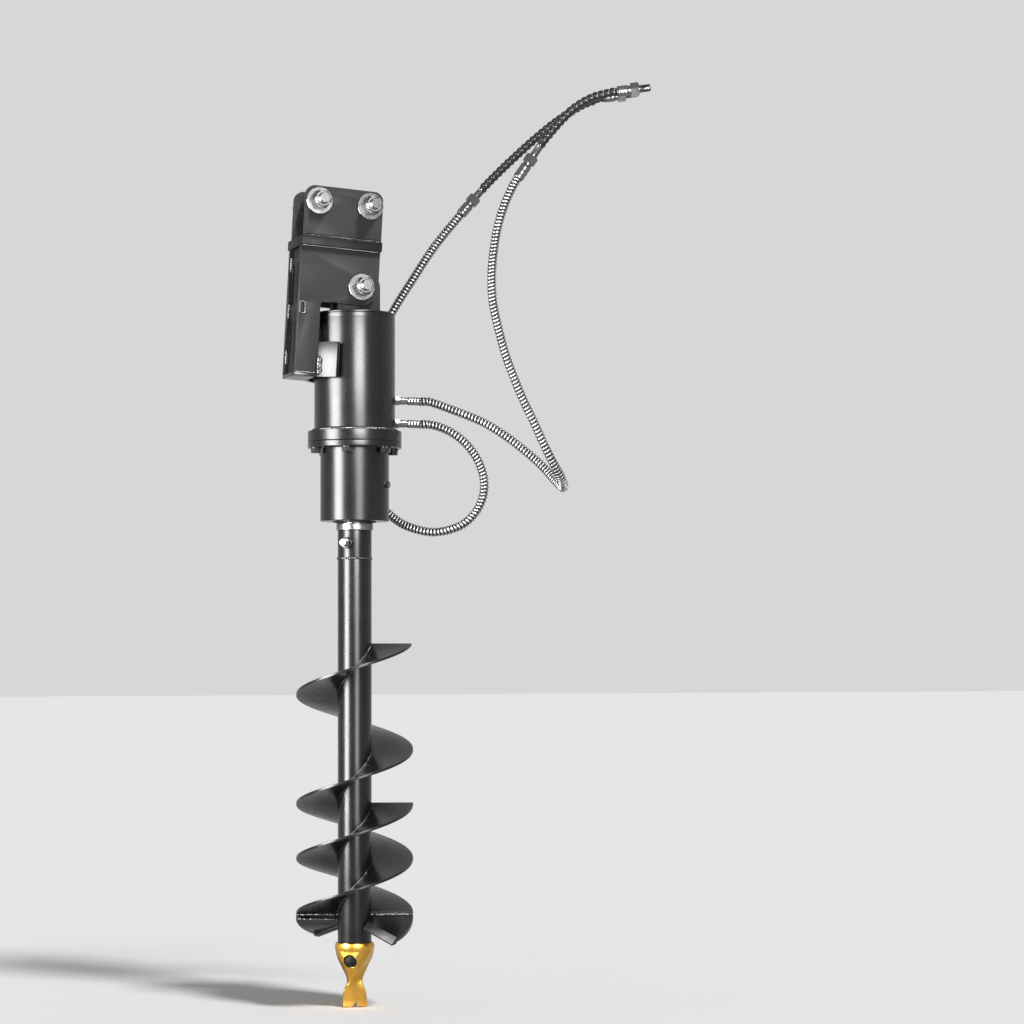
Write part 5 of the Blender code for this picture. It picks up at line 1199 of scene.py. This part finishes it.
face = CASING_RADIUS + SEAT_GAP
adapter = stepped(((0.0075, MOTOR_FACE + SEAT_GAP - face), *ADAPTER_BASE), FITTING_STEPS)
adapter += hexagon_rings(ADAPTER_FLATS, *ADAPTER_HEXAGON, count=FITTING_STEPS)
adapter += stepped(ADAPTER_NECK, FITTING_STEPS)
tail = stepped(TAIL_NECK, FITTING_STEPS) + crimped(*TAIL_SHELL) + stepped(TAIL_END, FITTING_STEPS)
for mark, drop in zip(("a", "b"), PORT_DROPS):
    for name, node, rings, reach in (("port_stub", "port_adapter", adapter, face),
                                     ("crimped_tail", "ferrule", tail, face + ADAPTER_REACH)):
        place = HEAD @ aimed((reach, 0, -drop), (1, 0, 0))
        finished(f"{name}_{mark}", lofted(rings), place, ZINC, "drive_head", "zinc", f"{node}_{mark}")
for mark in ("a", "b"):
    for name, node, span, share in (("line_union", "union", UNION_SPANS[mark], UNION_SHARE),
                                    ("line_end", "end_fitting", END_SPANS[mark], END_SHARE)):
        length = between(span).length
        nut = length * share
        stem = nut + UNION_NUT
        rings = [ring_of(UNION_SHELL - 0.0012, SEAT_GAP, FITTING_STEPS)]
        rings += crimped(UNION_SHELL, 0.0012, nut - 0.006, 3)
        rings += stepped(((0.0098, nut - 0.0045), (0.0098, nut)), FITTING_STEPS)
        rings += hexagon_rings(UNION_FLATS, nut, stem, count=FITTING_STEPS)
        rings += stepped(((UNION_STEM, stem), (UNION_STEM, stem + 0.003)), FITTING_STEPS)
        rings += thread_rings(UNION_STEM, UNION_PITCH, stem + 0.0034, length - 0.0015, FITTING_STEPS)
        rings += [ring_of(0.0070, length - SEAT_GAP, FITTING_STEPS)]
        place = aimed(Vector(span[0]), between(span))
        finished(f"{name}_{mark}", lofted(rings), place, ZINC, "hitch_frame", "zinc", f"{node}_{mark}")

# Weld beads. The frame, lugs, casing, hub, flights and blades are held by beads of
# electric weld, laid in close ripples by hand and painted over with the rest.
WELD_RIPPLE = 0.0046
WELD_STEPS = 4
WELD_WAVE_SEED = 5.0
WELD_WAVE_SCALE = 100.0
WELD_BODY = 0.78
WELD_SWELL = 0.40
WELD_TIP = 0.35
ROOT_STEPS = 48
WELD_PAINT = paint("painted_weld", (0.006, 0.006, 0.006), (0.014, 0.014, 0.014), (0.09, 0.16),
                   0.05, 0.3, 0.9)


def weld_tree():
    """Nodes that lay a rippled, slightly uneven bead along every path."""
    tree, given, result = new_tree("GeometryNodeTree", "weld_bead", {
        "Path": "Geometry", "Bead Radius": "Float", "Ripple": "Float", "Unevenness": "Float",
        "Finish": "Material",
    }, {"Bead": "Geometry"})
    fine = grow(tree, "GeometryNodeResampleCurve", {
        "Curve": given["Path"], "Length": maths(tree, "DIVIDE", given["Ripple"], float(WELD_STEPS)),
    }, mode="LENGTH")
    index = grow(tree, "GeometryNodeInputIndex")
    phase = maths(tree, "FRACT", maths(tree, "DIVIDE", index, float(WELD_STEPS)))
    ripple = maths(tree, "ADD", maths(tree, "MULTIPLY", phase, WELD_SWELL), WELD_BODY)
    noise = grow(tree, "ShaderNodeTexNoise", {
        "Vector": grow(tree, "GeometryNodeInputPosition"), "W": WELD_WAVE_SEED,
        "Scale": WELD_WAVE_SCALE, "Detail": 2.0,
    }, None, noise_dimensions="4D")
    swell = maths(tree, "MULTIPLY", maths(tree, "SUBTRACT", noise["Fac"], 0.5), given["Unevenness"])
    along = grow(tree, "GeometryNodeSplineParameter", out="Length")
    whole = grow(tree, "GeometryNodeSplineLength", out="Length")
    near = maths(tree, "MINIMUM", along, maths(tree, "SUBTRACT", whole, along))
    taper = maths(tree, "ADD", maths(tree, "DIVIDE", near, given["Bead Radius"]), WELD_TIP)
    share = maths(tree, "MULTIPLY", maths(tree, "ADD", ripple, swell),
                  maths(tree, "MINIMUM", taper, 1.0))
    drift = vectors(tree, "SUBTRACT", {0: noise["Color"], 1: (0.5, 0.5, 0.5)})
    reach = maths(tree, "MULTIPLY", given["Bead Radius"], given["Unevenness"])
    moved = grow(tree, "GeometryNodeSetPosition", {
        "Geometry": fine, "Offset": vectors(tree, "SCALE", {0: drift, "Scale": reach})})
    section = grow(tree, "GeometryNodeCurvePrimitiveCircle", {"Resolution": 10, "Radius": 1.0})
    bead = grow(tree, "GeometryNodeCurveToMesh", {
        "Curve": moved, "Profile Curve": section, "Fill Caps": True,
        "Scale": maths(tree, "MULTIPLY", share, given["Bead Radius"])})
    real = grow(tree, "GeometryNodeRealizeInstances", {"Geometry": bead})
    smooth = grow(tree, "GeometryNodeSetShadeSmooth", {"Geometry": real})
    coated = grow(tree, "GeometryNodeSetMaterial", {"Geometry": smooth, "Material": given["Finish"]})
    tree.links.new(coated, result[0])
    return tree


WELD_BEAD = weld_tree()


def weld(name, body, radius, paths, place, loop=False, uneven=0.5):
    """Lay one group of beads along paths given in a piece's own place."""
    placed = [[place @ Vector(spot) for spot in path] for path in paths]
    bead = grown_mesh(name, path_curve(name, placed, loop), WELD_BEAD, {
        "Bead Radius": radius, "Ripple": WELD_RIPPLE, "Unevenness": uneven, "Finish": WELD_PAINT,
    })
    fitted(bead, body, "black_paint")


def both_sides(*paths):
    """Paths on the rear side, as given, after the same paths on the front side."""
    return [[(x, side * y, z) for x, y, z in path] for side in (-1, 1) for path in paths]


def level(back, front, across, height):
    """A level path from back to front."""
    return (back, across, height), (front, across, height)


def upright(depth, across, low, length):
    """An upright path."""
    return (depth, across, low), (depth, across, low + length)


seam = CROSS_SPAN[2][1]
weld("ear_seams", "hitch_frame", 0.0050, both_sides(*(
    level(-EAR_BACK + 0.004, FRAME_NOSE - 0.004, face, seam)
    for face in (EAR_HALF_WIDTH, EAR_HALF_WIDTH - EAR_THICKNESS))), LEAN, uneven=0.8)
weld("plate_seams", "hitch_frame", 0.0026, both_sides(
    level(-FRAME_BACK + 0.004, FRAME_NOSE - 0.003, FRAME_HALF_WIDTH, FRAME_TOP)), LEAN)
web_back, web_front = WEB_MIDDLE - PLATE / 2 - 0.0005, WEB_MIDDLE + PLATE / 2
stitches = both_sides(*(upright(web_back, 0.0400, low, 0.034) for low in (0.030, -0.072, -0.172)))
stitches += both_sides(*(upright(web_front, 0.0396, low, 0.026) for low in (0.030, -0.048, -0.126)))
weld("web_stitches", "hitch_frame", 0.0042, stitches, LEAN, uneven=0.9)
(back, front), (low, high) = TAB_DEPTHS, TAB_SPAN
tab_corners = ((back, low), (front, low), (front, high), (back, high))
weld("tab_seams", "hitch_frame", 0.0016, both_sides(
    [(x, FRAME_HALF_WIDTH - 0.0004, z) for x, z in tab_corners]), LEAN, loop=True, uneven=0.3)
weld("foot_seams", "hitch_frame", 0.0024, both_sides(
    level(-FRAME_BACK + 0.003, -LEG_FRONT - 0.003, FRAME_HALF_WIDTH, -LEG_DROP + FOOT_THICKNESS)), LEAN)
weld("pad_seams", "hitch_frame", 0.0080, both_sides(
    upright(-LEG_FRONT + 0.0045, 0.0510, -0.196, 0.042)), LEAN, uneven=0.9)
weld("lug_seams", "drive_head", 0.0026, both_sides(*(
    level(-LUG_RADIUS + 0.002, LUG_RADIUS - 0.002, face, -cap_top)
    for face in (LUG_FACE, LUG_FACE - LUG_THICKNESS))), HEAD)
rim = [(x, y, -HOUSING_END + 0.0008) for x, y in circle(CASING_RADIUS + 0.0008, steps=96)]
weld("flange_seam", "drive_head", 0.0042, [rim], HEAD, loop=True)
rim = [(x, y, -HUB_END) for x, y in circle(TUBE_RADIUS - 0.0006, steps=72)]
weld("hub_seam", "auger", 0.0028, [rim], HEAD, loop=True, uneven=0.7)
for node, bearing, turns in FLIGHTS:
    faces = [[ring[0] for ring in screwed([(TUBE_RADIUS + 0.0006, face)], turns, ROOT_STEPS)]
             for face in (FLIGHT_THICKNESS / 2, -FLIGHT_THICKNESS / 2)]
    weld(f"{node}_root", "auger", 0.0013, faces, AUGER @ Matrix.Rotation(bearing, 4, "Z"), uneven=0.35)
half = BLADE_THICKNESS / 2
joints = [level(0.040, FLIGHT_RADIUS - 0.002, -0.0004, -half),
          level(0.040, FLIGHT_RADIUS - 0.002, 0.0012, half)]
edge = [along * reach + ahead * 0.0004 + Vector((0, 0, half - 0.0004)) for reach in (0.047, 0.122)]
for i, slant in enumerate(BLADE_SLANTS):
    weld(f"blade_seam_{i + 1}", "auger", 0.0042, joints, slant, uneven=1.0)
    weld(f"tooth_braze_{i + 1}", "auger", 0.0016, [edge], slant, uneven=0.4)

# Inside of the drive: the hydraulic motor and its spindle, the planetary gears, the
# roller bearing and the seal. Hidden at rest, they keep the finish of such parts.
CAST_IRON = clouded("cast_iron", (0.11, 0.11, 0.12), (0.21, 0.21, 0.22), (0.45, 0.65), (40.0, 450.0), 0.3,
                    grain=(0.35, 0.0008))
HOBBED_STEEL = clouded("hobbed_steel", (0.34, 0.34, 0.37), (0.50, 0.50, 0.52), (0.26, 0.42),
                       (60.0, 1300.0), 1.0)
GROUND_STEEL = ground_steel("ground_steel", (0.46, 0.46, 0.47), (0.78, 0.78, 0.77))
INSIDE = (
    (CAST_IRON, ("motor_body",)),
    (GROUND_STEEL, ("motor_shaft", "output_shaft", "bearing_inner_race", "bearing_outer_race")),
    (HOBBED_STEEL, ("sun_gear", "planet_gear_1", "planet_gear_2", "planet_gear_3", "ring_gear")),
    (BRONZE, ("roller_cage",)),
    (HOSE_RUBBER, ("oil_seal",)),
)
for finish, nodes in INSIDE:
    for node in nodes:
        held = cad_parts[node]
        held.data.materials.clear()
        held.data.materials.append(finish)

# Studio: a plain pale floor under the auger's point, a pale surround, a soft sun high
# in front, and four tall strips that show only as highlights in the gloss.
FLOOR_HEIGHT = -1.7225
SEEN_LEVEL = 0.68
FILL_LEVEL = 0.33
STRIPS = (
    ("left_strip", 196.5, 1.26, (-0.31, 0.37), 36.0),
    ("left_strip_foot", 198.5, 1.10, (-1.72, -0.31), 36.0),
    ("right_strip", 266.5, 1.00, (-0.31, 0.37), 40.0),
    ("right_strip_foot", 269.5, 0.84, (-1.72, -0.31), 11.0),
)
STRIP_DISTANCE = 2.3
KEY_WAY = (-1.2, 2.6, -3.7)
KEY_SPREAD = math.radians(11)
KEY_STRENGTH = 2.7


def pale_surround():
    """Pale surround for what the camera and the gloss see, with a softer grey fill."""
    world = bpy.data.worlds.new("pale_surround")
    world.use_nodes = True
    tree = world.node_tree
    tree.nodes.clear()
    rays = grow(tree, "ShaderNodeLightPath", out=None)
    seen = maths(tree, "MAXIMUM", rays["Is Camera Ray"], rays["Is Glossy Ray"])
    seen = maths(tree, "MAXIMUM", seen, rays["Is Transmission Ray"])
    strength = grow(tree, "ShaderNodeMix", {0: seen, 2: FILL_LEVEL, 3: SEEN_LEVEL}, data_type="FLOAT")
    glow = grow(tree, "ShaderNodeBackground", {"Color": (1.0, 1.0, 1.0, 1), "Strength": strength})
    tree.links.new(glow, tree.nodes.new("ShaderNodeOutputWorld").inputs["Surface"])
    return world


def lamp(name, kind, way, strength):
    """A lamp that shines in a direction."""
    data = bpy.data.lights.new(name, kind)
    data.energy = strength
    made = in_scene(name, data)
    made.rotation_euler = Vector(way).to_track_quat("-Z", "Y").to_euler()
    return made


bpy.context.scene.world = pale_surround()
bpy.context.scene.view_settings.view_transform = "Standard"
floor_form = bmesh.new()
bmesh.ops.create_grid(floor_form, x_segments=2, y_segments=2, size=40,
                      matrix=Matrix.Translation((0, 0, FLOOR_HEIGHT)))
floor = as_object("floor", floor_form)
floor.data.materials.append(
    clouded("pale_floor", (0.77, 0.77, 0.77), (0.79, 0.79, 0.79), (0.66, 0.74), (2.0, 60.0), 0.0, 0.0))
for name, bearing, width, (low, high), radiance in STRIPS:
    middle = Vector((PIVOT.x, 0, (low + high) / 2))
    offset = radial(math.radians(bearing)) * STRIP_DISTANCE
    strip = lamp(name, "AREA", -offset, math.pi * radiance * width * (high - low))
    strip.data.shape = "RECTANGLE"
    strip.data.size, strip.data.size_y = width, high - low
    strip.location = offset + middle
    strip.visible_camera = False
    strip.visible_diffuse = False
lamp("key_light", "SUN", KEY_WAY, KEY_STRENGTH).data.angle = KEY_SPREAD
